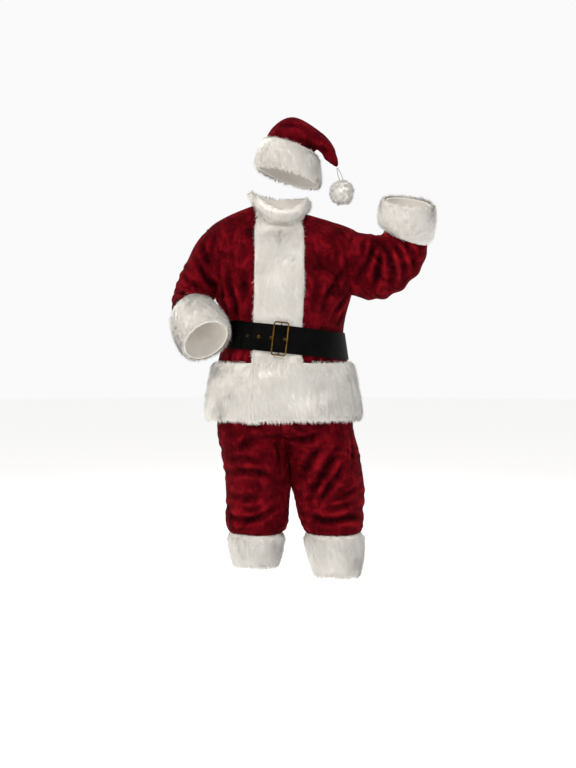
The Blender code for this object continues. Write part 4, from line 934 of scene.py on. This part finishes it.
# %% [markdown]
# ## The edges of a trim
# A trim has three kinds of edge. At a sewn edge the locks lean out over the cloth, at a free edge
# they reach past it in tufts, and where two trims are joined the pile runs on with no line between
# them. So each edge is laid out as a row of places that know their kind, and the locks ask it.

# %% Trees that find the nearest face
def solid_tree(bm, faces=None):
    """A tree that finds the nearest place on these faces, or on all of them."""
    bm.verts.index_update()
    return BVHTree.FromPolygons([v.co.copy() for v in bm.verts],
                                [[v.index for v in face.verts] for face in (faces or bm.faces)])


def node_tree(nodes):
    """One tree over several nodes' solids."""
    bm = bmesh.new()
    for node in nodes:
        bm.from_mesh(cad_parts[node].data)
    tree = solid_tree(bm)
    bm.free()
    return tree


# %% Places along an edge
RIM_STEP = 0.004     # between two places that are looked at along an edge


def edge_loops(bm):
    """The open edges of a sheet, as a list for each loop that they make."""
    met, loops = set(), []
    for start in bm.edges:
        if not start.is_boundary or start in met:
            continue
        met.add(start)
        loop = [start]
        for edge in loop:                # the loop grows while it is gone through
            for vert in edge.verts:
                for other in vert.link_edges:
                    if other.is_boundary and other not in met:
                        met.add(other)
                        loop.append(other)
        loops.append(loop)
    return loops


def laid_along(loop):
    """Places at even steps along a loop, and the way out of the sheet at each."""
    places, aways = [], []
    for edge in loop:
        a, b = edge.verts
        steps = math.ceil(edge.calc_length() / RIM_STEP)
        places += [a.co.lerp(b.co, (k + 0.5) / steps) for k in range(steps)]
        away = (b.co - a.co).cross(edge.link_faces[0].normal).normalized()
        if away.dot(a.co - edge.link_faces[0].calc_center_median()) < 0:
            away.negate()
        aways += [away] * steps
    return np.array(places), aways


# %% Edges: sewn, free or joined
JOINED = ("front_band", "hem_left", "hem_right", "hem_back", "collar")  # these meet with no line between
JOINED_GAP = 0.022   # an edge nearer than this to the jacket's other fur is joined to it
ROUND_ALL = 1.6      # a loop that spans this many half heights of the sheet goes round all of it,
FREE_FROM = 0.6      # and is free where it is this much of a half height past the middle
FREE_REACH = 0.020   # how near to a free edge the locks begin to lean over it
PULL_REACH = 0.045   # how near to a free edge the body is drawn back from it
LAP_REACH = 0.008    # how near to a joined edge the body is drawn over it
LEAST_AGREED = 0.3   # the less the ways out agree, the longer the lap is, down to this
FILL_REACH = 0.016   # how near to a joined edge the pile is filled up to its full height
FULL_PILE = 85       # which is this percentile of the trim's pile
MOST_FILL = 0.013
LEVEL_FALL = 0.25    # a way that falls less than this towards the free edge is level


class Rims:
    """A trim's edges: where they are, which way is out over them, and what they end at."""

    def __init__(self, trim):
        bm = outer_sheet(trim.node)
        self.furs = node_tree([name for name in JOINED if name != trim.node])
        opens = unit(np.array(trim.opens or UP))
        reach = np.array([vert.co for vert in bm.verts]) @ opens
        middle, half = (reach.max() + reach.min()) / 2, (reach.max() - reach.min()) / 2
        places, aways, free, self.axis = [], [], [], opens
        for loop in edge_loops(bm):
            laid, ways_out = laid_along(loop)
            along = laid @ opens - middle
            if np.ptp(along) > ROUND_ALL * half:
                is_free = along > FREE_FROM * half
            else:                                            # one mouth of a tube
                is_free = np.full(len(laid), along.mean() > 0)
                if along.mean() > 0:
                    level = np.linalg.svd(laid - laid.mean(0))[2][2]
                    self.axis = level * np.sign(level @ opens)
            places.append(laid)
            aways += ways_out
            free.append(is_free & (trim.opens is not None))
        bm.free()
        self.places, self.free, self.aways = np.concatenate(places), np.concatenate(free), np.array(aways)
        self.joined = np.array([trim.node in JOINED and self.furs.find_nearest(Vector(place))[3] < JOINED_GAP
                                for place in self.places])
        self.free &= ~self.joined
        self.tree = nearest_finder(self.places)
        self.joined_tree = nearest_finder(self.places[self.joined])
        self.plain_tree = nearest_finder(self.places[~self.joined])
        self.free_tree = nearest_finder(self.places[self.free])

    def filled(self, points, pile):
        """How much the pile is filled up beside a joined edge, so that no groove shows there."""
        if not self.joined.any():
            return np.zeros(len(points))
        near = np.array([self.joined_tree.find(Vector(point))[2] for point in points])
        away = np.array([self.plain_tree.find(Vector(point))[2] for point in points])
        wanted = np.clip(np.percentile(pile, FULL_PILE) - pile, 0.0, MOST_FILL)
        if self.free.any():
            gaps = np.array([self.free_tree.find(Vector(point))[2] for point in points])
            wanted *= np.clip(gaps / FREE_REACH - 1.0, 0.0, 1.0)
        return wanted * np.exp(-(near / FILL_REACH) ** 2) * (1 - np.exp(-(away / FILL_REACH) ** 2))

    def over(self, point):
        """The way out over the edges near a point, longer at a corner, so that a corner is covered too."""
        found = [(self.aways[number], gap) for _, number, gap in self.tree.find_range(point, 2 * LAP_REACH)]
        if not found:
            return np.zeros(3)
        shares = np.exp([-(gap / LAP_REACH) ** 2 for _, gap in found])
        way = (np.array([away for away, _ in found]) * shares[:, None]).sum(0) / shares.sum()
        return way / max(way @ way, LEAST_AGREED)

    def room(self, points, way):
        """How far each point can go along its way before it is at the height of a free edge."""
        fall = (way * self.axis).sum(1)
        if not self.free.any():
            return np.full(len(points), np.inf)
        ends = [self.free_tree.find(Vector(point)) for point in points]
        axis = Vector(self.axis)
        inside = np.array([max((end - Vector(point)).dot(axis), 0.0) if gap < PULL_REACH else np.inf
                           for (end, _, gap), point in zip(ends, points)])
        return np.where(fall > LEVEL_FALL, inside / np.maximum(fall, LEVEL_FALL), np.inf)

    def near(self, points):
        """For each point: its gap to the edge, the way out, and if that edge is free or joined."""
        picks = np.array([self.tree.find(Vector(point))[1] for point in points])
        ways, free = self.places[picks] - points, self.free[picks]
        gaps = np.linalg.norm(ways, axis=1)
        inside = np.where(free, np.maximum(ways @ self.axis, 0.0), gaps)
        outs = np.where(free[:, None], self.axis, unit(ways))
        return gaps, inside, outs, free, self.joined[picks]


# %% [markdown]
# ## The body of a trim
# Under the locks there is the trim's own solid, with its pile side lowered, so that the locks
# stand out of it. It ends a little before a free edge, where tufts alone make the outline, and it
# reaches a little over a joined edge, so that no crack shows between two trims.

# %% Body
BACKING = 0.0025      # the knitted backing under the pile
OUTER_SIDE = 0.8      # a point is on the pile's side if it is this share of the backing off the lining
BODY_DEPTH = 0.0050   # the body under the locks ends this far below the trim's form
# the body under the locks gets a low tone of the fur's ramp, painted shade under the pile
BODY_TONE = 0.40
LAPPED = 0.0090       # the bodies reach this far over a joined edge
PULLED_BACK = 0.013   # how far the body ends before a free edge


def keep_along(mesh, tone):
    """Gives all of a mesh one tone of the fur."""
    kept = mesh.attributes.new("along", "FLOAT", "POINT")
    kept.data.foreach_set("value", np.full(len(mesh.vertices), tone))


def round_once(piece):
    """One step of subdivision, as the piece's own mesh."""
    rounding = piece.modifiers.new("rounding", "SUBSURF")
    rounding.levels = rounding.render_levels = 1
    apply_modifiers(piece)


def backing(trim, rims):
    """The trim's body: its solid, a little under its form and drawn back from free edges."""
    cut = merged_copy(trim.node)
    lining = solid_tree(cut, sheets_of(cut)[1])
    cut.free()
    bm = merged_copy(trim.node)
    form = solid_tree(bm)
    piles = np.array([lining.find_nearest(vert.co)[3] for vert in bm.verts])
    places = np.array([vert.co for vert in bm.verts])
    fills = np.zeros(len(places))
    outer = piles > BACKING
    fills[outer] = rims.filled(places[outer], piles[outer])
    gaps, _, outs, free, joined = rims.near(places)
    laps = np.array([rims.over(vert.co) for vert in bm.verts])
    laps *= (LAPPED * np.exp(-(gaps / LAP_REACH) ** 2) * joined)[:, None]
    for vert, gap, out, is_free, fill, lap in zip(bm.verts, gaps, outs, free, fills, laps):
        if is_free and gap < PULL_REACH:
            back = vert.co - Vector(out) * PULLED_BACK * (1 - gap / PULL_REACH)
            vert.co = form.find_nearest(back)[0]
        under, _, _, pile = lining.find_nearest(vert.co)
        if pile > BACKING * OUTER_SIDE:
            vert.co = under + (vert.co - under) * max(pile - BODY_DEPTH + fill, BACKING) / pile
        vert.co += Vector(lap)
    body = add_piece("trim_" + trim.node, bm, white_fur)
    round_once(body)
    body.data.shade_smooth()
    # the body's low tone is painted shade under the locks
    keep_along(body.data, BODY_TONE)
    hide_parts(trim.node)
    return body, lining


# %% [markdown]
# ## The locks of a trim
# The locks grow at places scattered evenly over the trim, and each belongs to the tuft whose head
# is nearest. It is combed along the trim, leans out over an edge, ends where its tuft ends, and is
# drawn towards the tuft's head. Some locks stand loose, and none run into the belt.

# %% Where the locks grow
SPLAY_REACH = 0.009  # how near to a sewn edge the locks begin to lean over it
UNEVEN = 0.022       # between places where that reach is long and where it is short
TUFT = 0.011         # the space of one tuft along an edge


def form_sheet(node):
    """The outer sheet of a trim's solid, rounded, as a mesh to scatter locks over."""
    shape = add_piece("form", outer_sheet(node), white_fur)
    round_once(shape)
    mesh = shape.data
    bpy.data.objects.remove(shape)
    return mesh


def flat_on(ways, normals):
    """The part of each way that lies along the surface with this normal."""
    return ways - normals * (ways * normals).sum(1, keepdims=True)


def growing_places(trim, rims, lining, seed, rng):
    """Where the trim's locks grow, and what each of them needs to know about its place.

    under is the place on the lining below it, pile and rise are how far and which way it is off
    that. gaps, inside, outs, free and joined are what its nearest edge says, edge is how near that
    is (1 on it, 0 far off), fill is what a joined edge adds, heads and groups tell its tuft.
    """
    at = SimpleNamespace()
    mesh = form_sheet(trim.node)
    at.form = BVHTree.FromPolygons([v.co for v in mesh.vertices], [f.vertices for f in mesh.polygons])
    mesh.calc_loop_triangles()
    size = sum(t.area for t in mesh.loop_triangles)
    at.count = int(size / trim.spacing ** 2)
    at.places, at.normals = scattered(mesh, at.count, rng)
    at.under = np.array([lining.find_nearest(Vector(place))[0] for place in at.places])
    at.pile = np.linalg.norm(at.places - at.under, axis=1)
    at.rise = unit(at.places - at.under)
    at.gaps, at.inside, at.outs, at.free, at.joined = rims.near(at.places)
    splay = SPLAY_REACH * np.clip(1 + 0.5 * wander(at.places, UNEVEN, seed + 9), 0.6, 1.8)
    at.edge = np.exp(-(at.gaps / np.where(at.free, FREE_REACH, splay)) ** 2)
    at.fill = at.rise * rims.filled(at.places, at.pile)[:, None]

    middles = nearest_finder(at.places[rng.permutation(at.count)[:max(1, int(size / TUFT ** 2))]])
    found = [middles.find(Vector(place)) for place in at.places]
    at.heads = np.array([middle for middle, _, _ in found])
    at.groups = np.array([number for _, number, _ in found])
    at.tufts = at.groups.max() + 1
    return at


# %% Which way a lock lies
DRIFT = 0.07         # the comb's way wanders over this many metres
STEEP = 0.7          # a comb that keeps less than this share along the form runs off it
AGAINST = -0.4       # at a joined edge, a lock that is combed away from it more than this doesn't lean
JOINED_LEAN = 0.28   # how much the others lean over a joined edge
OVERLEAN = 1.3       # the way out over an edge counts this much more than the comb
TUFT_TURN = 0.16     # how far one tuft's way turns from the next, in radians
OWN_TURN = 0.12      # and one lock's way from its tuft's; twice that on a joined edge


def combed(trim, at, seed, rng):
    """The way of each lock: along the comb, out over an edge, and turned a little by chance."""
    drift = np.stack([wander(at.places, DRIFT, seed + axis) for axis in range(3)], axis=1)
    comb = unit(np.array(trim.comb) + trim.swirl * drift)
    way = flat_on(comb, at.normals)
    steep = np.clip(STEEP - np.linalg.norm(way, axis=1), 0.0, 1.0)
    way = unit(way + comb * steep[:, None])
    over_edge = np.where(at.free[:, None], at.outs, unit(flat_on(at.outs, at.normals)))
    leans = at.joined & ((way * over_edge).sum(1) > AGAINST)
    lean = np.where(at.joined, np.where(leans, JOINED_LEAN, 0.0), 1.0) * at.edge
    way = unit(way * (1 - lean)[:, None] + over_edge * (OVERLEAN * lean)[:, None])
    turn = rng.normal(0, TUFT_TURN, at.tufts)[at.groups]
    turn += rng.normal(0, 1, at.count) * np.where(at.joined, OWN_TURN + OWN_TURN * at.edge, OWN_TURN)
    return way * np.cos(turn)[:, None] + np.cross(at.normals, way) * np.sin(turn)[:, None]


# %% How far a lock reaches
LENGTHS = (0.65, 1.15)    # a lock's length, as a share of its trim's
TUFT_GAP = 0.021          # how deep the gap is between two tufts of a free edge
BY_PLACE, BY_TUFT = 0.6, 0.4   # the gap's shares that a lock's place in its tuft and its tuft decide
JOINED_OVER = 0.013       # locks reach this far over a joined edge
ALONG_EDGE = 0.15         # a lock that nears the edge slower than this isn't cut off by it
LEAST, LEAST_OFF = 0.34, 0.22   # at a free edge, the least share of a lock that goes on, less by chance
MOST = 0.7                # and none goes on for more than this share


def cut_off(trim, at, way, beside, speed, rims, rng):
    """Each lock's length, and how much of it goes ahead of its place."""
    long = trim.long * rng.uniform(*LENGTHS, at.count)
    off_tuft = np.minimum(np.linalg.norm(beside, axis=1) / (TUFT / 2), 1.0)
    uneven = rng.uniform(0, 1, at.tufts)[at.groups]
    past = np.where(at.free, trim.free - TUFT_GAP * (BY_PLACE * off_tuft + BY_TUFT * uneven),
                    trim.over * (1 - BY_PLACE * off_tuft * uneven)) * rng.uniform(0.7, 1.0, at.count)
    past = np.where(at.joined, JOINED_OVER * rng.uniform(0.2, 1, at.count), past)
    ahead = np.where(speed > ALONG_EDGE, (at.inside + past) / np.maximum(speed, ALONG_EDGE), long)
    least = np.where(at.free, (LEAST - LEAST_OFF * uneven) * at.edge, 0.0)
    room = rims.room(at.places, way) + trim.free * rng.uniform(0, 1, at.count)
    ahead = np.minimum(ahead, np.where(at.free, np.inf, room))
    return long, np.clip(ahead, least * long, long * MOST)


# %% How high a lock lies
WAVE, WAVE_HEIGHT = 0.045, 0.0022   # the slow swell of the pile
SUNK = 0.0012                       # the pile lies this much lower than the form, on the whole
OWN_HEIGHT = (-0.0015, 0.0010)      # and one lock is this much lower or higher
LOOSE_SHARE, LOOSE_LIFT = 0.16, 0.008   # some locks stand loose, and rise up to this much higher
ROUNDED = 0.006                     # how far the pile draws in towards a free edge
JOINED_RISE = 0.0015                # how much it rises over a joined one
SEWN_RISE = 0.35                    # and over a sewn one, as a share of its reach over the cloth


def lifted(trim, at, seed, rng):
    """How far, and which way, each lock's tip is off the form."""
    swell = WAVE_HEIGHT * wander(at.places, WAVE, seed + 5) - SUNK + rng.uniform(*OWN_HEIGHT, at.count)
    swell += LOOSE_LIFT * rng.uniform(0.2, 1.0, at.count) * (rng.uniform(0, 1, at.count) < LOOSE_SHARE)
    risen = np.where(at.joined, JOINED_RISE, SEWN_RISE * trim.over) * at.edge
    swell += np.where(at.free, -ROUNDED * at.edge ** 2, risen)
    return at.normals * swell[:, None] + at.fill


# %% Where a lock starts
ROOT_DEPTH = 0.0055  # how far under the trim's form a lock starts
ROOT_SHARE = 0.7     # but not deeper than this share of the pile
BEHIND = 0.9         # the share of the rest of a lock's length that lies behind its place
TUCKED = 0.12        # the share of a lock's length that fits beside the belt


def crosses(tree, starts, ends):
    """Which of these straight lines run into the tree's faces."""
    ways = ends - starts
    longs = np.linalg.norm(ways, axis=1)
    return np.array([tree.ray_cast(Vector(a), Vector(w), d)[0] is not None
                     for a, w, d in zip(starts, ways, longs)])


def rooted(at, way, speed, rest, tips, tucked, keep_off):
    """Where each lock starts, behind its place and inside the pile."""
    behind = rest * BEHIND
    behind = np.where(speed < -0.1, np.minimum(behind, 0.8 * at.inside / np.maximum(-speed, 0.1)), behind)
    if keep_off is not None:
        behind = np.where(crosses(keep_off, at.places - way * behind[:, None], tips), tucked, behind)
    depth = np.minimum(at.pile * ROOT_SHARE, ROOT_DEPTH) * np.where(at.joined, 1 - 0.6 * at.edge, 1.0)
    hits = [at.form.find_nearest(Vector(root)) for root in at.places - way * behind[:, None]]
    return np.array([hit[0] - hit[1] * d for hit, d in zip(hits, depth)]) + at.fill


# %% Which locks are kept
BARE_RIM = 0.003     # no locks grow this near to a free edge, where the trim turns inside
LOST = 0.010         # a lock whose tip ends farther than this from all fur, at a joined edge, is left out
BELT_LOW, BELT_HIGH = 0.002, 0.040   # no locks grow where the belt is between these heights over the lining
BELT_CLEAR = 0.030   # nor where it is this near below a tip


def kept_locks(at, roots, tips, rims, keep_off):
    """Which locks grow: none at a bare rim, in the air or through the belt."""
    keep = ~at.free | (at.gaps > BARE_RIM)
    lost = np.array([min(fur.find_nearest(Vector(tip))[3] for fur in (at.form, rims.furs)) > LOST
                     for tip in tips - at.fill])
    keep &= ~(at.joined & lost)
    if keep_off is not None:
        keep &= ~crosses(keep_off, at.under + at.rise * BELT_LOW, at.under + at.rise * BELT_HIGH)
        keep &= ~crosses(keep_off, roots, tips) & ~crosses(keep_off, tips, tips - at.rise * BELT_CLEAR)
    return keep


# %% A trim with its fur
LOCK_WIDTH = 0.00068                # half of a lock's width at its root
PULL, EDGE_PULL = 0.22, 0.60        # how far a tip is drawn to its tuft's head, and how much more at an edge
FRAYED = 0.0005                     # each tip is off by about this much
LOCK_TONE, TUFT_TONE, CLUMP_TONE = 0.035, 0.03, 0.06   # how much each of them varies the tone
CLUMP, CLUMP_TILT = 0.026, 0.32     # clumps of the pile lean their own way, and so does their shading
TUFT_TILT = 0.22
RISE_SHADE, FREE_SHADE = 0.8, 1.2   # how much the pile's rise and a free edge turn the shading


def furred(trim, seed, keep_off=None):
    """A trim: its body, which stands for the node, and the locks planted in it."""
    rng = np.random.default_rng(seed)
    rims = Rims(trim)
    body, lining = backing(trim, rims)
    at = growing_places(trim, rims, lining, seed, rng)
    way = combed(trim, at, seed, rng)
    beside = flat_on(flat_on(at.heads - at.places, at.normals), way)   # across, to its tuft's head
    speed = (way * at.outs).sum(1)                                     # how fast it nears the edge
    long, ahead = cut_off(trim, at, way, beside, speed, rims, rng)
    lift = lifted(trim, at, seed, rng)
    if keep_off is not None:
        tight = crosses(keep_off, at.places, at.places + way * ahead[:, None] + lift)
        ahead = np.where(tight, TUCKED * long, ahead)
    tips = at.places + way * ahead[:, None] + lift
    roots = rooted(at, way, speed, long - ahead, tips, TUCKED * long, keep_off)
    pull = (PULL + EDGE_PULL * at.edge) * rng.uniform(0.6, 1.0, at.count)
    tips += beside * pull[:, None] + rng.normal(0, FRAYED, (at.count, 3))
    keep = kept_locks(at, roots, tips, rims, keep_off)

    widths = LOCK_WIDTH * rng.uniform(0.7, 1.3, at.count)
    tones = rng.normal(0, LOCK_TONE, at.count) + CLUMP_TONE * wander(at.places, CLUMP, seed + 6)
    tones += rng.normal(0, TUFT_TONE, at.tufts)[at.groups]
    tilts = rng.normal(0, TUFT_TILT, (at.tufts, 3))[at.groups]
    tilts += CLUMP_TILT * np.stack([wander(at.places, CLUMP, seed + 7 + axis) for axis in range(3)], axis=1)
    glow = at.outs * (FREE_SHADE * at.edge * at.free)[:, None]
    shades = unit(at.normals + at.rise * RISE_SHADE + glow + tilts)
    free_standing = at.free & (at.gaps < FREE_REACH * 1.5)
    locks = plant("fur_" + trim.node, roots[keep], tips[keep], shades[keep], widths[keep], tones[keep],
                  free_standing[keep])
    print(trim.node, keep.sum(), "locks;", rims.free.sum(), "of", len(rims.free), "edge places are free")
    return body, locks


# %% Plant the trims
belt_tree = node_tree(["belt", "belt_keeper", "buckle_frame", "buckle_bar", "buckle_tongue"])
for number, trim in enumerate(TRIMS):
    near_belt = trim.node == "front_band" or trim.node.startswith("hem")
    furred(trim, 100 + number * 10, belt_tree if near_belt else None)

# %% [markdown]
# ## Pompom
# The pompom is a ball of the same fur, sewn to a thread. Its locks stand straight out all round,
# so they are planted on a round core with a little chance in each.

# %% Pompom
POMPOM_RADIUS = 0.046
POMPOM_CORE = 0.037
POMPOM_SUNK = 0.004                # how far inside the core's face the locks start
POMPOM_ROOM = 0.006                # makes up for that, and takes the tips a little past the radius
POMPOM_LOCKS = 9000
POMPOM_TUFTS = 260
POMPOM_LEAN, POMPOM_OWN = 0.50, 0.26   # how far a tuft leans, and one lock in it
POMPOM_HIGHS = (0.66, 1.12)        # how high the tufts are, and one lock in its tuft
POMPOM_OWN_HIGHS = (0.85, 1.05)
POMPOM_GATHER = 0.32               # how far a tip is drawn to its tuft's head, at most
POMPOM_WIDTH = 0.0008              # half of a lock's width at its root
# The pompom's core and locks are painted paler than other fur: painted light that makes up for the deeper
# shade among its standing locks, though its locks still darken towards the root as painted shade.
POMPOM_TONE = 0.62
POMPOM_TONES = (0.25, 0.05)        # what its locks add to that of other fur, and how much it varies
POMPOM_GLOW = (0.0, -0.15, 0.55)   # light comes down through the loose pile, so its shade is soft


def make_pompom():
    """A round core that stands for the solid, and the locks planted in it."""
    low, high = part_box("pompom")
    centre = (Vector(low) + Vector(high)) / 2
    bm = bmesh.new()
    bmesh.ops.create_icosphere(bm, subdivisions=4, radius=POMPOM_CORE)
    bmesh.ops.translate(bm, vec=centre, verts=bm.verts)
    core = add_piece("pompom_core", bm, white_fur)
    keep_along(core.data, POMPOM_TONE)
    rng = np.random.default_rng(500)
    roots, out = scattered(core.data, POMPOM_LOCKS, rng)
    roots -= out * POMPOM_SUNK
    heads = nearest_finder(roots[rng.permutation(POMPOM_LOCKS)[:POMPOM_TUFTS]])
    found = [heads.find(Vector(root)) for root in roots]
    groups = np.array([number for _, number, _ in found])
    leans = rng.normal(0, POMPOM_LEAN, (POMPOM_TUFTS, 3))[groups]
    highs = rng.uniform(*POMPOM_HIGHS, POMPOM_TUFTS)[groups] * rng.uniform(*POMPOM_OWN_HIGHS, POMPOM_LOCKS)
    reach = (POMPOM_RADIUS - POMPOM_CORE + POMPOM_ROOM) * highs
    gather = np.array([middle for middle, _, _ in found]) - roots
    gather = gather * rng.uniform(0.0, POMPOM_GATHER, POMPOM_LOCKS)[:, None]
    way = unit(out + leans + rng.normal(0, POMPOM_OWN, (POMPOM_LOCKS, 3)))
    tips = roots + way * reach[:, None] + gather
    widths = POMPOM_WIDTH * rng.uniform(0.8, 1.2, POMPOM_LOCKS)
    shades = unit(out + 0.5 * leans + POMPOM_GLOW)
    locks = plant("pompom_fur", roots, tips, shades, widths, rng.normal(*POMPOM_TONES, POMPOM_LOCKS))
    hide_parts("pompom")
    print("pompom:", len(locks.data.polygons), "faces")


make_pompom()

# %% [markdown]
# ## Belt
# The belt is smooth black cowhide, finished to a soft shine, with plain cut edges. Its solid has
# the right form, but crisp edges catch light in a way that cut leather doesn't, so a copy gets
# rounded edges and normals that follow the large faces.

# %% Leather
GRAIN_MM = 2.2     # pores are far finer; this is as fine as shows
HIDE_MM = 45.0     # broad, faint waves of the hide
HIDE_HIGH = 4.0    # how much higher they are than the grain


def make_leather():
    """Leather that is nearly black, with a shine that varies a little over the hide."""
    made, tree, output = new_material("finished_black_cowhide")
    place = add_node(tree, "TexCoord").outputs["Object"]
    grain = add_node(tree, "TexVoronoi", {"Scale": per_metre(GRAIN_MM), "Randomness": 1.0},
                     {"Vector": place}).outputs["Distance"]
    wave = add_node(tree, "TexNoise", {"Scale": per_metre(HIDE_MM), "Detail": 2.0},
                    {"Vector": place}).outputs["Fac"]
    shine = add_node(tree, "MapRange", {"To Min": 0.40, "To Max": 0.52}, {"Value": wave}).outputs["Result"]
    ramp = add_node(tree, "ValToRGB", links={"Fac": wave})
    stops = ramp.color_ramp.elements
    stops[0].position, stops[0].color = 0.35, colour("020202")
    stops[1].position, stops[1].color = 0.75, colour("080707")
    height = add_node(tree, "Math", {1: HIDE_HIGH}, {0: wave, 2: grain}, operation="MULTIPLY_ADD").outputs[0]
    bump = add_node(tree, "Bump", {"Strength": 0.16, "Distance": 0.0015},
                    {"Height": height}).outputs["Normal"]
    shader = add_node(tree, "BsdfPrincipled", {"IOR": 1.5, "Specular IOR Level": 0.04},
                      {"Base Color": ramp.outputs["Color"], "Roughness": shine, "Normal": bump})
    tree.links.new(shader.outputs["BSDF"], output.inputs["Surface"])
    return made


leather = make_leather()


# %% Belt and keeper
CUT_EDGE = math.radians(50)
EDGE_ROUND = 0.0006


def leather_strap(node):
    """The node's solid with rounded edges, and normals that its large faces lead."""
    bm = merged_copy(node)
    for edge in bm.edges:
        edge.smooth = len(edge.link_faces) < 2 or edge.calc_face_angle() < CUT_EDGE
    made = add_piece("leather_" + node, bm, leather)
    rounding = made.modifiers.new("cut_edge", "BEVEL")
    rounding.width, rounding.segments = EDGE_ROUND, 2
    rounding.limit_method, rounding.angle_limit = "ANGLE", CUT_EDGE
    flow = made.modifiers.new("flow", "WEIGHTED_NORMAL")
    flow.keep_sharp = True
    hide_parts(node)
    print(node, len(made.data.polygons), "faces")


for node in ("belt", "belt_keeper"):
    leather_strap(node)

# %% [markdown]
# ## Brass and thread
# The buckle and the eyelets are cast and stamped brass, polished and then dulled by handling.
# The pompom hangs on a grey polyester thread.

# %% Brass
WEAR_MM = 9.0      # dull and bright places


def make_brass():
    """Brass that is polished in places and dull in others."""
    made, tree, output = new_material("polished_brass")
    place = add_node(tree, "TexCoord").outputs["Object"]
    wear = add_node(tree, "TexNoise", {"Scale": per_metre(WEAR_MM), "Detail": 4.0},
                    {"Vector": place}).outputs["Fac"]
    rough = add_node(tree, "MapRange", {"To Min": 0.26, "To Max": 0.48}, {"Value": wear}).outputs["Result"]
    ramp = add_node(tree, "ValToRGB", links={"Fac": wear})
    stops = ramp.color_ramp.elements
    stops[0].position, stops[0].color = 0.3, colour("4A3415")
    stops[1].position, stops[1].color = 0.7, colour("8A6731")
    shader = add_node(tree, "BsdfPrincipled", {"Metallic": 1.0},
                      {"Base Color": ramp.outputs["Color"], "Roughness": rough})
    tree.links.new(shader.outputs["BSDF"], output.inputs["Surface"])
    return made


brass = make_brass()


# %% Thread
TWIST_MM = 6.313   # one turn of the twist along the thread
WAVE_UNIT = 2 * math.pi / 10   # at a scale of 1, a diagonal wave turns once in this many metres


def make_thread():
    """Grey thread with the slanting lines of its twist."""
    made, tree, output = new_material("polyester_thread")
    place = add_node(tree, "TexCoord").outputs["Object"]
    twist = add_node(tree, "TexWave", {"Scale": per_metre(TWIST_MM) * WAVE_UNIT, "Distortion": 0.6},
                     {"Vector": place}, bands_direction="DIAGONAL").outputs["Fac"]
    ramp = add_node(tree, "ValToRGB", links={"Fac": twist})
    stops = ramp.color_ramp.elements
    stops[0].color, stops[1].color = colour("55565C"), colour("8E9096")
    bump = add_node(tree, "Bump", {"Strength": 0.5, "Distance": 0.0004}, {"Height": twist}).outputs["Normal"]
    shader = add_node(tree, "BsdfPrincipled", {"Roughness": 0.6, "Sheen Weight": 0.2},
                      {"Base Color": ramp.outputs["Color"], "Normal": bump})
    tree.links.new(shader.outputs["BSDF"], output.inputs["Surface"])
    return made


thread = make_thread()


# %% Paint the buckle, the eyelets and the loop
def repaint(node, material):
    """Puts this material on every face of the node."""
    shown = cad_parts[node]
    for place in shown.material_slots:
        place.material = material


for node in ("buckle_frame", "buckle_bar", "buckle_tongue", "eyelet_1", "eyelet_2", "eyelet_3", "eyelet_4"):
    repaint(node, brass)
repaint("pompom_loop", thread)
